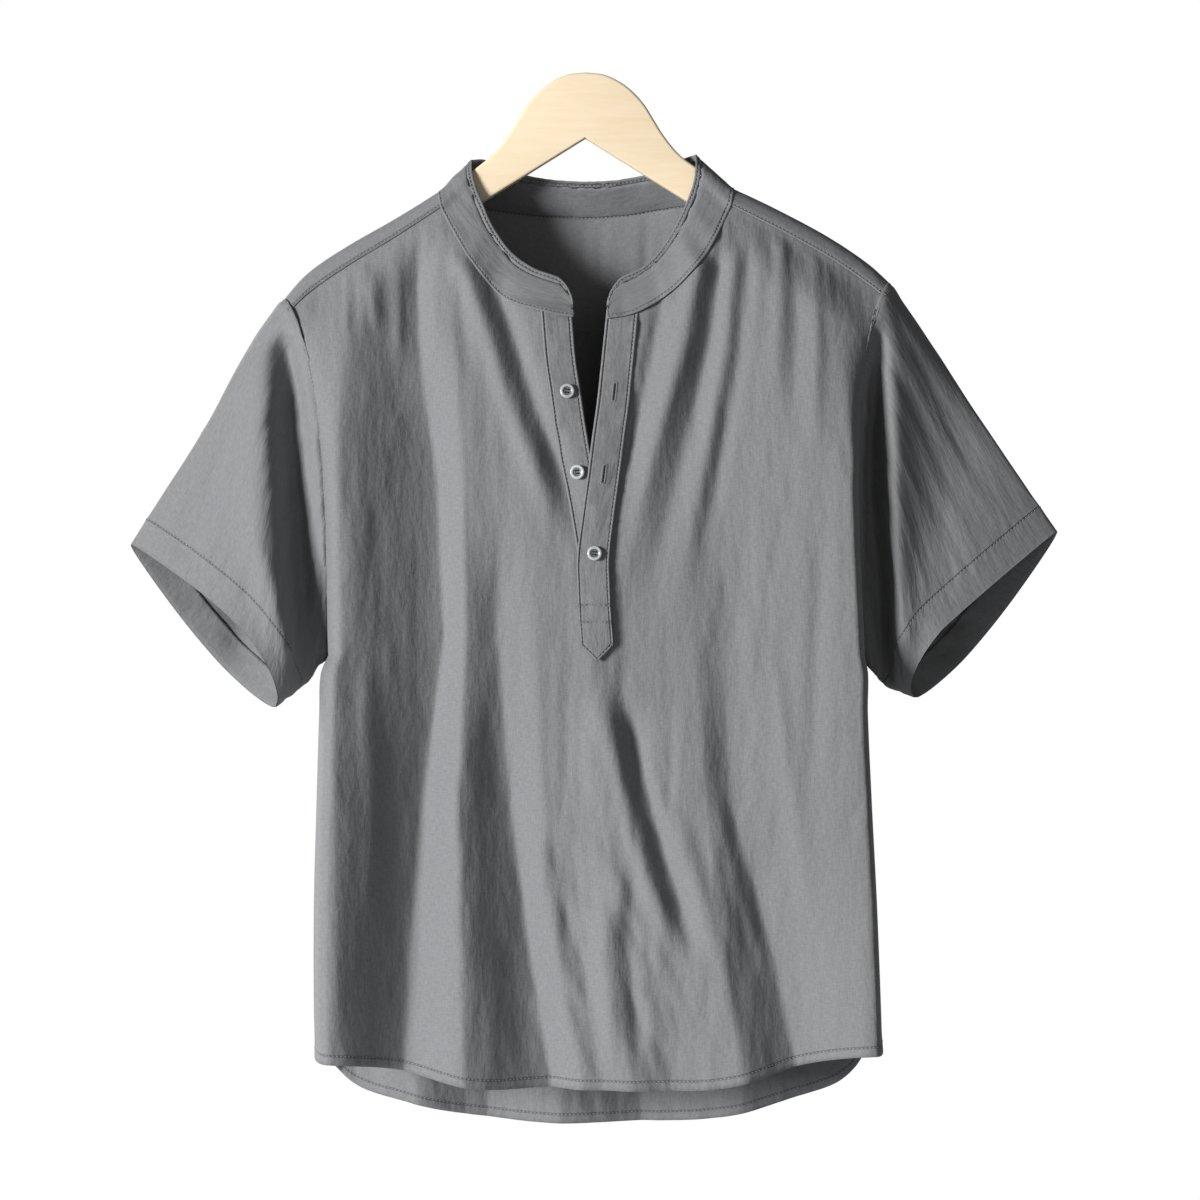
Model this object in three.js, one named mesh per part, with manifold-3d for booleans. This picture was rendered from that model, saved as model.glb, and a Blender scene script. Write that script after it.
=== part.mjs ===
// Short-sleeved shirt with a band collar and a half-length placket, hanging on a flat wooden hanger.
// Millimetres, +Z up, the front faces -Y, the origin is at the top of the hanger.
// Left and right are as seen from the front. A drop is a distance below the origin.

import * as THREE from 'three'
import { mergeVertices } from 'three/addons/utils/BufferGeometryUtils.js'
import Module from 'manifold-3d'

const wasm = await Module()
wasm.setup()

// Cloth
const CLOTH = 1.2              // thickness of the shirt's cloth, as a wall
const COLLAR_CLOTH = 2.0       // two layers with interlining
const HEM_TURNING = 0.8        // added on the inside where a hem is turned up
const HALF_SEAM = 0.2          // each side's share of the gap in a seam
const ARMHOLE_GAP = { top: 1.1, under: 1.9, from: 10, to: 60 } // body's edge to sleeve's edge
const NECK_GAP = 0.95          // from the body's edge to the collar's edge

// Neck
const COLLAR_HEIGHT = 36
const COLLAR_END_HEIGHT = 12   // straight part of the collar's front end, below its rounded corner
const COLLAR_END_RADIUS = 18
const COLLAR_TIP_PLACES = [0, 0.13, 0.36, 0.68] // points along the collar's end on the placket
const NECK_OUT = 117           // where the shoulder seam meets the collar

// Yoke
const YOKE_SEAM_BELOW = 19     // front yoke seam below the shoulder ridge
const BACK_YOKE_DROP = 205
const YOKE_FRONT_CORNER = 0.034 // place of the front yoke seam along the armhole

// Body
const HEM = { side: 782, front: 806, back: 847.3, centre: 8, frontPower: 2.6, backPower: 3.8 }
const FRONT_SWELL = { seam: 14, chest: 34, over: 85, hem: 10 }
const BACK_SWELL = { seam: 14, chest: 28, over: 60, hem: 8 }
const HEM_SWELL = { from: 450, over: 350 }
const FOLD_FADE = 70           // folds grow over this distance below the yoke seam
const HALF_WIDTH = 215         // of the body, to space the columns of its grids
const SIDE_ROUND = 22          // how far the side of the body is rounded, below the armpit
const ARMHOLE_ROUND = 40       // the same beside the armhole
const SLIT = { x: 4, drop: 388 }

// Grids: steps along and across each panel
const STEPS = { body: 10, slit: 8, neck: 7, shoulderBack: 3, neckBack: 16, collar: 4 }
const YOKE_FRONT_ROWS = [0, 0.4, 0.72, 0.9, 1] // parts of the quarter round over the front
const YOKE_BACK_ROWS = [0, 0.25, 0.5, 0.7, 0.85, 0.94, 1]
const YOKE_PLACES = [0, 0.04, 0.1, 0.2, 0.32, 0.46, 0.6, 0.74, 0.88, 1]
const FRONT_COLUMNS = 19       // equal columns between the rounded side and the middle
const BACK_COLUMNS = 24
const ARMHOLE_BLEND = 0.25     // part of the armhole over which the rounded side changes
const ARMHOLE_MIDDLE = 0.36    // place along the armhole where the neckline's rows start
const SIDE_COLUMNS = [0, 0.1, 0.32, 0.62] // extra columns within the rounded side

// Shoulder ridge, from the collar outwards
const SHOULDER = [
  { out: 108, left: 89.2, right: 89.2 },
  { out: 117, left: 94.6, right: 93.4 },
  { out: 155, left: 117.8, right: 111.8 },
  { out: 192, left: 139, right: 131.8 },
  { out: 222, left: 159.2, right: 151.8 },
  { out: 244, left: 181.2, right: 170.6 },
]

// Side seams, from the armpit down
const SIDE_SEAM = [
  { drop: 465.6, left: 206.4, right: 219.2 },
  { drop: 480, left: 212.4, right: 222 },
  { drop: 510, left: 213.6, right: 221.8 },
  { drop: 581.6, left: 215.6, right: 224.8 },
  { drop: 661.6, left: 217.6, right: 228.8 },
  { drop: 741.6, left: 217.6, right: 231.8 },
  { drop: 785.6, left: 216.4, right: 233.4 },
]

// Sleeve edges along the sleeve, from the armhole (0) to the hem (1)
const SLEEVE_EDGES = {
  left: [
    { along: 0, topOut: 245.6, topDrop: 183.6, underOut: 206.4, underDrop: 465.6 },
    { along: 0.18, topOut: 268.6, topDrop: 216.8, underOut: 213, underDrop: 472 },
    { along: 0.55, topOut: 309.6, topDrop: 288, underOut: 227.2, underDrop: 488.8 },
    { along: 1, topOut: 365.6, topDrop: 377.6, underOut: 249.6, underDrop: 507 },
  ],
  right: [
    { along: 0, topOut: 243.4, topDrop: 171.2, underOut: 219.2, underDrop: 465.6 },
    { along: 0.18, topOut: 268.6, topDrop: 208, underOut: 225.6, underDrop: 476 },
    { along: 0.55, topOut: 314.2, topDrop: 278.4, underOut: 237.6, underDrop: 488.8 },
    { along: 1, topOut: 375.2, topDrop: 367.2, underOut: 260.8, underDrop: 499.2 },
  ],
}
const ARMHOLE_BOW = { left: 19.4, right: 24, peak: 0.63, reach: 0.55 } // how far the armhole curves inwards

// Sleeve sections: depth to the front and back, where the fullness hangs, and the slant of the hem
const SLEEVE_SECTIONS = [
  { along: 0, front: 33, back: 30, frontHang: 0.6, backHang: 0.6, slant: 0 },
  { along: 0.18, front: 38, back: 28, frontHang: 0.9, backHang: 0.9, slant: 0.1 },
  { along: 0.55, front: 44, back: 24, frontHang: 1.3, backHang: 1.2, slant: 0.3 },
  { along: 1, front: 42, back: 21, frontHang: 1.6, backHang: 1.4, slant: 0.55 },
]
const SLEEVE_RINGS = [0, 0.05, 0.11, 0.19, 0.29, 0.4, 0.52, 0.64, 0.77, 0.892, 0.897, 1]
const SLEEVE_HEM_FROM = 0.895  // where the turned hem starts
const SLEEVE_EDGE_ROUND = 2.2  // half the thickness of the sleeve's folded edges
const SLEEVE_BULGE = 0.8       // below 1 the sections are fuller towards their edges

// Folds on the sleeves: their lines, half widths, and how far each stands out
const SLEEVE_FOLDS = {
  left: [
    { face: -1, width: 14, out: 6, line: [[-249.6, 208], [-262, 264], [-275, 382], [-253, 463]] },
    { face: -1, width: 15, out: -24, line: [[-237, 224], [-234, 343], [-225, 489]] },
    { face: -1, width: 9, out: -5, line: [[-286, 271], [-305, 335], [-329, 386]] },
    { face: 1, width: 15, out: -12, line: [[-240, 240], [-236, 350], [-230, 480]] },
    { face: 1, width: 16, out: 5, line: [[-262, 220], [-278, 330], [-268, 450]] },
  ],
  right: [
    { face: -1, width: 12, out: 6, line: [[235, 208], [245, 303], [250, 390], [261, 457]] },
    { face: -1, width: 12, out: -24, line: [[224, 224], [226, 343], [231, 485]] },
    { face: -1, width: 11, out: -5, line: [[259, 224], [281, 303], [286, 382]] },
    { face: 1, width: 15, out: -12, line: [[238, 240], [240, 350], [240, 480]] },
    { face: 1, width: 16, out: 5, line: [[264, 220], [284, 330], [276, 450]] },
  ],
}
const SLEEVE_FOLD_START = 0.07 // the folds begin this far from the armhole

// Folds that run down the front: places across at six drops, and how far each stands out
const FOLD_DROPS = [210, 327, 453, 578, 704, 798]
const FRONT_FOLDS = [
  { name: 'left side ridge', x: [-187, -196, -194, -196, -198, -196], out: [6, 12, 14, 14, 14, 12] },
  { name: 'left side valley', x: [-151, -138, -133, -144, -150.5, -149], out: [-6, -12, -14, -15, -15, -13] },
  { name: 'left chest ridge', x: [-128, -116, -111, -104, -100, -98], out: [5, 5, 8, 12, 14, 14] },
  { name: 'left hem valley', x: [-106.6, -100, -85, -77, -64, -50], out: [-3, -3, -9, -12, -14, -14] },
  { name: 'left inner ridge', x: [-65, -53, -41.5, -34, -37.6, -22], out: [3, 5, 4, 3, 3, 2] },
  { name: 'left inner valley', x: [-22, -22, -18, -18, -25, -10], out: [2, 3, 2, 0, -4, -1] },
  { name: 'middle ridge', x: [-4, -2, 3, 6, 9.4, 13.3], out: [0, 3, 5, 6, 6, 10] },
  { name: 'middle valley', x: [30, 30, 27, 27, 56.4, 60.4], out: [-2, -1, 0, -6, -3, -7] },
  { name: 'right chest ridge', x: [80, 80, 80, 81.5, 97, 111], out: [0, -1, 1, 5, 8, 11] },
  { name: 'right hem valley', x: [103.5, 97, 94, 110, 144, 162], out: [1, -2, -3, -9, -14, -14] },
  { name: 'right side ridge', x: [194, 197.6, 197.6, 201.5, 201.5, 204], out: [8, 10, 11, 11, 12, 12] },
]
const BACK_FOLDS = [
  { name: 'left side ridge', x: [-170, -176, -180, -184, -188, -190], out: [4, 6, 8, 9, 10, 10] },
  { name: 'left valley', x: [-120, -118, -122, -128, -132, -136], out: [-3, -5, -8, -10, -11, -11] },
  { name: 'left ridge', x: [-66, -62, -66, -72, -78, -82], out: [2, 4, 6, 8, 9, 10] },
  { name: 'middle valley', x: [-8, -4, -2, -8, -16, -22], out: [-2, -3, -5, -7, -8, -9] },
  { name: 'right ridge', x: [52, 56, 58, 54, 48, 44], out: [2, 4, 6, 7, 8, 9] },
  { name: 'right valley', x: [112, 112, 116, 118, 120, 124], out: [-3, -5, -7, -9, -10, -10] },
  { name: 'right side ridge', x: [168, 174, 180, 186, 192, 196], out: [4, 6, 8, 9, 10, 10] },
]

// Single drag lines on the front: from and to, half width, and how far each stands out
const DRAG_LINES = [
  { from: [-80, 156], to: [-5, 379], width: 15, out: -6 },
  { from: [-104, 134], to: [-104, 262], width: 12, out: -4 },
  { from: [-99, 126], to: [-86, 206], width: 10, out: 4 },
  { from: [72, 213], to: [39, 357], width: 11, out: 5 },
  { from: [105, 205], to: [88, 293], width: 11, out: 4 },
]

// Neckline points from the shoulder down to the placket, as seen from the front
const NECKLINE = {
  left: [
    { x: -116.4, drop: 108.9 }, { x: -105.6, drop: 129.5 }, { x: -90.1, drop: 155.2 },
    { x: -64.1, drop: 183.2 }, { x: -36.7, drop: 193.6 }, { x: -24.4, drop: 196.6 },
  ],
  right: [
    { x: 112.6, drop: 107.2 }, { x: 95.6, drop: 142.6 }, { x: 78.1, drop: 165.8 },
    { x: 57.5, drop: 183.2 }, { x: 38.7, drop: 193.6 }, { x: 26.9, drop: 197.4 },
  ],
}
const COLLAR_ENDS = { left: { x: -12.2, drop: 198.4 }, right: { x: 15.4, drop: 199.2 } }

// Upper edge of the collar, before its front corners are rounded
const COLLAR_TOP = {
  left: [
    { x: -93, y: 1, drop: 70 }, { x: -92.6, y: -7.2, drop: 80.6 }, { x: -89.2, y: -8.6, drop: 93.9 },
    { x: -84, y: -9.4, drop: 106.4 }, { x: -75.8, y: -10, drop: 124.7 }, { x: -60.5, y: -11.5, drop: 146.4 },
    { x: -45.2, y: -12.5, drop: 157.6 }, { x: -32.1, y: -13.5, drop: 163.4 },
    { x: -12, y: -14.5, drop: 169.5 },
  ],
  right: [
    { x: 86, y: 1, drop: 65.6 }, { x: 86, y: -7.2, drop: 74 }, { x: 84.3, y: -8.8, drop: 89.2 },
    { x: 75.1, y: -9.6, drop: 113.9 }, { x: 66.9, y: -10.4, drop: 129.7 }, { x: 57.8, y: -11, drop: 143.6 },
    { x: 46.6, y: -12, drop: 155.8 }, { x: 34.4, y: -13, drop: 162.6 }, { x: 16, y: -14, drop: 169.8 },
  ],
  back: [
    { x: -93, y: 1, drop: 70 }, { x: -82, y: 9, drop: 69 }, { x: -48, y: 17, drop: 80.6 },
    { x: -2, y: 19, drop: 85 }, { x: 45, y: 17, drop: 80.4 }, { x: 74, y: 9, drop: 69 },
    { x: 86, y: 1, drop: 65.6 },
  ],
}

// Neckline across the back
const BACK_NECKLINE = [
  { x: -118.4, y: 0, drop: 95 }, { x: -106, y: 20, drop: 100 }, { x: -65.7, y: 38, drop: 107.9 },
  { x: -23.6, y: 41, drop: 111.4 }, { x: 21.9, y: 41, drop: 111 }, { x: 57.3, y: 38, drop: 106.2 },
  { x: 104, y: 20, drop: 98 }, { x: 115.2, y: 0, drop: 92.8 },
]

// Middle lines of the two placket strips
const PLACKET_BUTTON = {
  width: 24, from: 200.6, to: 440, lift: 1.8,
  line: [
    { drop: 200, x: -24.4 }, { drop: 233, x: -21.5 }, { drop: 256, x: -18 }, { drop: 283, x: -14 },
    { drop: 315, x: -8.5 }, { drop: 345, x: -2.6 }, { drop: 388, x: 4 }, { drop: 440, x: 5.5 },
  ],
}
const PLACKET_BUTTONHOLE = {
  width: 25, from: 201.4, to: 457, point: 12.4, lift: 1.8, overlap: 1.9, liftFrom: 235, liftTo: 298,
  line: [
    { drop: 199, x: 26.9 }, { drop: 230, x: 23.8 }, { drop: 266, x: 20 }, { drop: 295, x: 16 },
    { drop: 320, x: 13 }, { drop: 352, x: 8.6 }, { drop: 388, x: 4.3 }, { drop: 410, x: 4.7 },
    { drop: 433, x: 5.8 }, { drop: 457, x: 7.6 }, { drop: 470, x: 7.6 },
  ],
}
const PLACKET_ROWS = 16
const PLACKET_COLUMNS = 4

// Buttons and buttonholes
const BUTTON = {
  radius: 5.75, thick: 2.4, edge: 0.6, rimWidth: 1.3, slope: 0.8, recess: 0.7,
  hole: 0.75, spread: 1.35, gap: 0.35,
}
const BUTTONS = [
  { name: 'button_top', x: -16.5, drop: 257.7, on: 'button' },
  { name: 'button_middle', x: -7.8, drop: 321.2, on: 'button' },
  { name: 'button_bottom', x: 5.1, drop: 385.1, on: 'buttonhole' },
]
const BUTTONHOLE = { length: 11.5, width: 0.9, drops: [259, 323.6] }

// Hanger
const HANGER = {
  thick: 10, bevel: 2.4, bevelSteps: 2, below: 2.4, reach: 204, armHeight: 21, cornerRise: 4, tipCut: 6,
  topMiddle: -1.8, middleFrom: 70, middleTo: 110, armFrom: 130, armStep: 10,
}
const HANGER_TOP = [
  { out: 0, drop: 0 }, { out: 14, drop: 1.6 }, { out: 24.6, drop: 6 }, { out: 35, drop: 13 },
  { out: 46.3, drop: 25 }, { out: 54.3, drop: 37.6 }, { out: 62.3, drop: 50.4 }, { out: 75.6, drop: 66.4 },
  { out: 97, drop: 82.6 }, { out: 105, drop: 89.4 }, { out: 112, drop: 96 }, { out: 120, drop: 99.4 },
]
const HANGER_NOTCH = { x: -2, drop: 52.5 }
const HANGER_UNDER = { left: { out: 87, drop: 105.6 }, right: { out: 83, drop: 105.6 } }
const PILOT_HOLE = { radius: 1.75, depth: 14 }

// Colours and finish
const COLOURS = { cloth: 0x6b6e70, button: 0x9b9d9e, wood: 0xf4dfbe }
const cloth = () => new THREE.MeshStandardMaterial({ color: COLOURS.cloth, roughness: 0.9, metalness: 0 })

const { clamp, lerp, smoothstep } = THREE.MathUtils
const signOf = side => (side === 'left' ? -1 : 1)
const range = count => Array.from({ length: count + 1 }, (_, i) => i / count)
const at = (x, y, drop) => new THREE.Vector3(x, y, -drop)

// Smooth value of one column of a table, read at a place along its key column
function read(table, key, column, place) {
  let i = 0
  while (i < table.length - 2 && table[i + 1][key] < place) i++
  const slope = j => {
    const before = table[Math.max(j - 1, 0)]
    const after = table[Math.min(j + 1, table.length - 1)]
    return (after[column] - before[column]) / (after[key] - before[key])
  }
  const span = table[i + 1][key] - table[i][key]
  const t = clamp((place - table[i][key]) / span, 0, 1)
  const start = table[i][column] * (1 + 2 * t) * (1 - t) ** 2 + slope(i) * span * t * (1 - t) ** 2
  const end = table[i + 1][column] * (3 - 2 * t) * t ** 2 - slope(i + 1) * span * (1 - t) * t ** 2
  return start + end
}

const ridgeDrop = x => {
  const side = x < 0 ? 'left' : 'right'
  return read(SHOULDER, 'out', side, clamp(Math.abs(x), SHOULDER[0].out, SHOULDER.at(-1).out))
}
const yokeSeamDrop = x => ridgeDrop(x) + YOKE_SEAM_BELOW

// How far a fold along a broken line stands out at a place
function lineDepth({ line, width, out }, x, drop) {
  let nearest = Infinity
  for (let i = 0; i + 1 < line.length; i++) {
    const [dx, dDrop] = [line[i + 1][0] - line[i][0], line[i + 1][1] - line[i][1]]
    const t = ((x - line[i][0]) * dx + (drop - line[i][1]) * dDrop) / (dx * dx + dDrop * dDrop)
    const [px, pDrop] = [line[i][0] + dx * clamp(t, 0, 1), line[i][1] + dDrop * clamp(t, 0, 1)]
    nearest = Math.min(nearest, Math.hypot(x - px, drop - pDrop))
  }
  return out * Math.exp(-((nearest / width) ** 2))
}

// A point of the sleeve: face is -1 at the front and 1 at the back, round runs from the top edge
// (0) to the under edge (1), and along runs from the armhole (0) to the hem (1)
function sleevePoint(side, face, round, along) {
  const edges = SLEEVE_EDGES[side]
  const edge = column => read(edges, 'along', column, along)
  const section = column => read(SLEEVE_SECTIONS, 'along', column, along)
  const top = new THREE.Vector2(signOf(side) * edge('topOut'), -edge('topDrop'))
  const under = new THREE.Vector2(signOf(side) * edge('underOut'), -edge('underDrop'))
  const hang = face < 0 ? section('frontHang') : section('backHang')
  const depth = face < 0 ? section('front') : section('back')
  const fold = Math.sin(Math.PI * clamp(round, 0, 1) ** hang)
  const edgeRound = 1 - (1 - 2 * Math.sqrt(Math.max(round * (1 - round), 0))) ** 4
  const full = Math.max(fold, 0) ** SLEEVE_BULGE
  const bow = ARMHOLE_BOW[side] * Math.max(0, 1 - along / ARMHOLE_BOW.reach) ** 2
  const place = top.clone().lerp(under, round)
  place.x -= signOf(side) * bow * Math.sin(Math.PI * round ** ARMHOLE_BOW.peak)
  const outward = new THREE.Vector2(-(under.y - top.y), under.x - top.x).normalize()
  if (outward.x * signOf(side) < 0) outward.negate()
  const folds = SLEEVE_FOLDS[side].filter(line => line.face === face)
    .reduce((sum, line) => sum + lineDepth(line, place.x, -place.y), 0)
  const folded = (depth + folds * smoothstep(along, 0, SLEEVE_FOLD_START)) * full
  const y = face * (SLEEVE_EDGE_ROUND * edgeRound + folded)
  place.addScaledVector(outward, section('slant') * y)
  return new THREE.Vector3(place.x, y, place.y)
}
const armholePoint = (side, face, round) => sleevePoint(side, face, round, 0)

// Depth of the vertical folds: each stands out along its own line, with even slopes between them
function foldDepth(folds, x, drop) {
  let level = 0
  while (level < FOLD_DROPS.length - 2 && FOLD_DROPS[level + 1] < drop) level++
  const t = clamp((drop - FOLD_DROPS[level]) / (FOLD_DROPS[level + 1] - FOLD_DROPS[level]), 0, 1)
  const lines = folds.map(fold => ({
    x: lerp(fold.x[level], fold.x[level + 1], t),
    out: lerp(fold.out[level], fold.out[level + 1], smoothstep(t, 0, 1)),
  }))
  if (x <= lines[0].x) return lines[0].out
  if (x >= lines.at(-1).x) return lines.at(-1).out
  const next = lines.findIndex(line => line.x > x)
  const across = smoothstep(x, lines[next - 1].x, lines[next].x)
  return lerp(lines[next - 1].out, lines[next].out, across)
}

// How far a single drag line stands out at a place, fading at its two ends
function dragDepth(line, x, drop) {
  const [x0, drop0] = line.from
  const [dx, dDrop] = [line.to[0] - x0, line.to[1] - drop0]
  const t = ((x - x0) * dx + (drop - drop0) * dDrop) / (dx * dx + dDrop * dDrop)
  const aside = Math.hypot(x - x0 - dx * clamp(t, 0, 1), drop - drop0 - dDrop * clamp(t, 0, 1))
  const ends = smoothstep(t, -0.1, 0.35) * (1 - smoothstep(t, 0.55, 1.1))
  return line.out * ends * Math.exp(-((aside / line.width) ** 2))
}

// Depth of the front and back faces, away from their sides
function faceDepth(face, x, drop) {
  const swell = face < 0 ? FRONT_SWELL : BACK_SWELL
  const beside = x < 0 ? Math.min(x, -NECK_OUT) : Math.max(x, NECK_OUT)
  const below = Math.max(drop - yokeSeamDrop(beside), 0)
  const chest = swell.seam + swell.chest * (1 - Math.exp(-below / swell.over))
  const hem = swell.hem * smoothstep(drop, HEM_SWELL.from, HEM_SWELL.from + HEM_SWELL.over)
  let folds = foldDepth(face < 0 ? FRONT_FOLDS : BACK_FOLDS, x, drop)
  if (face < 0) folds += DRAG_LINES.reduce((sum, line) => sum + dragDepth(line, x, drop), 0)
  return face * (chest + hem + folds * smoothstep(below, 0, FOLD_FADE))
}

// Puts a point on the body's face, rounded off towards the outer edge beside it
function onFace(face, x, drop, edge, beside) {
  const reach = lerp(SIDE_ROUND, ARMHOLE_ROUND, beside)
  const inside = clamp(Math.abs(x - edge.x) / reach, 0, 1)
  const round = (1 - (1 - inside) ** 2) ** lerp(0.5, 1, beside)
  return at(x, lerp(edge.y, faceDepth(face, x, drop), round), drop)
}

// Places across a panel: extra ones within the rounded side, then equal columns to the middle
function columnPlaces(width, columns) {
  const start = SIDE_ROUND / width
  const side = SIDE_COLUMNS.map(part => part * start)
  return [...side, ...range(columns).map(part => lerp(start, 1, part))]
}

// Outer edge of the body, from the hem up to a place on the armhole, as rows of points
function outerEdge(face, side, lastRound, middleSteps, topSteps) {
  const sign = signOf(side)
  const rows = range(STEPS.body).map(t => {
    const drop = lerp(HEM.side, SIDE_SEAM[0].drop, t)
    return { point: at(sign * read(SIDE_SEAM, 'drop', side, drop), face * HALF_SEAM, drop), beside: 0 }
  })
  const armhole = (from, to, steps) => range(steps).slice(1).map(t => {
    const round = lerp(from, to, t)
    const beside = smoothstep(1 - round, 0, ARMHOLE_BLEND)
    return { point: armholePoint(side, face, round), beside }
  })
  rows.push(...armhole(1, ARMHOLE_MIDDLE, middleSteps))
  rows.push(...armhole(ARMHOLE_MIDDLE, lastRound, topSteps))
  return rows
}

// The smooth neckline of one front, from the placket up to the shoulder
function necklineCurve(side) {
  const points = NECKLINE[side].map(p => new THREE.Vector3(p.x, 0, -p.drop)).reverse()
  return new THREE.CatmullRomCurve3(points, false, 'centripetal')
}

// Middle line of the front: hem, foot of the slit, slit edge, neckline
function innerEdge(side) {
  const placket = side === 'left' ? PLACKET_BUTTON : PLACKET_BUTTONHOLE
  const body = range(STEPS.body).map(t => {
    const drop = lerp(HEM.front, SLIT.drop, t)
    return { x: lerp(HEM.centre, SLIT.x, t), drop }
  })
  const top = NECKLINE[side].at(-1)
  const slit = range(STEPS.slit).slice(1).map(t => {
    const drop = lerp(SLIT.drop, top.drop, t)
    return { x: read(placket.line, 'drop', 'x', drop), drop }
  })
  slit[slit.length - 1] = top
  const curve = necklineCurve(side)
  const neck = range(STEPS.neck).slice(1).map(t => {
    const p = curve.getPointAt(t)
    return { x: p.x, drop: -p.z }
  })
  return [...body, ...slit, ...neck]
}

// A place along the front yoke seam, from the armhole (0) to the collar (1)
function yokeSeam(side, place) {
  const edge = armholePoint(side, -1, YOKE_FRONT_CORNER)
  const neck = NECKLINE[side][0]
  const x = lerp(edge.x, neck.x, place)
  const straight = lerp(yokeSeamDrop(edge.x), yokeSeamDrop(neck.x), place)
  const drop = lerp(-edge.z, neck.drop, place) + yokeSeamDrop(x) - straight
  return onFace(-1, x, drop, edge, 1)
}

// One half of the front, as rows of points from the side to the middle
function frontHalf(side) {
  const outer = outerEdge(-1, side, YOKE_FRONT_CORNER, STEPS.slit, STEPS.neck)
  const inner = innerEdge(side)
  const places = columnPlaces(HALF_WIDTH, FRONT_COLUMNS)
  const lastRow = outer.length - 1
  return outer.map(({ point: edge, beside }, row) => {
    const middle = inner[row]
    const power = lerp(HEM.frontPower, 1, row / lastRow)
    const seam = smoothstep(row, STEPS.body + STEPS.slit, lastRow)
    return places.map(place => {
      if (row === lastRow) return sealed(yokeSeam(side, place), true)
      if (place === 0) return edge
      const x = lerp(edge.x, middle.x, place)
      const toMiddle = 1 - (1 - place) ** power
      const straight = lerp(yokeSeamDrop(edge.x), yokeSeamDrop(middle.x), place)
      const bulge = seam * (yokeSeamDrop(x) - straight)
      const drop = lerp(-edge.z, middle.drop, toMiddle) + bulge
      return onFace(-1, x, drop, edge, beside)
    })
  })
}

// Lowers a point that lies on the yoke seam by the body's share of the seam's gap
function sealed(point, onSeam) {
  return onSeam ? point.clone().add(new THREE.Vector3(0, 0, -HALF_SEAM)) : point.clone()
}

const placeAtDrop = (side, drop) => {
  const edge = SLEEVE_EDGES[side][0]
  return (drop - edge.topDrop) / (edge.underDrop - edge.topDrop)
}

// The back, as rows of points from the left side to the right side
function backRows() {
  const edges = ['left', 'right'].map(side =>
    outerEdge(1, side, placeAtDrop(side, BACK_YOKE_DROP), STEPS.slit, STEPS.shoulderBack))
  const half = columnPlaces(HALF_WIDTH, BACK_COLUMNS / 2).map(place => place / 2)
  const places = [...half, ...half.slice(0, -1).reverse().map(place => 1 - place)]
  const lastRow = edges[0].length - 1
  return edges[0].map((left, row) => {
    const right = edges[1][row]
    const lowest = row <= STEPS.body ? 1 - row / STEPS.body : 0
    return places.map(place => {
      if (place === 0) return sealed(left.point, row === lastRow)
      if (place === 1) return sealed(right.point, row === lastRow)
      const x = lerp(left.point.x, right.point.x, place)
      const side = lerp(-left.point.z, -right.point.z, place)
      const sag = (HEM.back - HEM.side) * lowest * (1 - Math.abs(2 * place - 1) ** HEM.backPower)
      const near = place < 0.5 ? left : right
      return sealed(onFace(1, x, side + sag, near.point, near.beside), row === lastRow)
    })
  })
}

// Shifts a row so that its ends meet two given points, fading over a distance
function pinEnds(row, first, last, reach) {
  const startShift = first.clone().sub(row[0])
  const endShift = last.clone().sub(row.at(-1))
  return row.map(point => {
    const fromStart = clamp(1 - point.distanceTo(row[0]) / reach, 0, 1) ** 2
    const fromEnd = clamp(1 - point.distanceTo(row.at(-1)) / reach, 0, 1) ** 2
    return point.clone().addScaledVector(startShift, fromStart).addScaledVector(endShift, fromEnd)
  })
}

// The back neckline as points from the left shoulder to the right
function backNeckline() {
  const curve = new THREE.CatmullRomCurve3(BACK_NECKLINE.map(p => at(p.x, p.y, p.drop)))
  return range(STEPS.neckBack).map(t => curve.getPointAt(t))
}

// A quarter round from the back yoke seam (part 0) up to a point of the ridge or neckline (part 1)
function backQuarter(foot, top, part) {
  const angle = part * Math.PI / 2
  const z = lerp(foot.z, top.z, Math.sin(angle))
  return new THREE.Vector3(lerp(foot.x, top.x, part), lerp(top.y, foot.y, Math.cos(angle)), z)
}
const backSeamPoint = x => at(x, faceDepth(1, x, BACK_YOKE_DROP), BACK_YOKE_DROP - HALF_SEAM)

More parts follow.
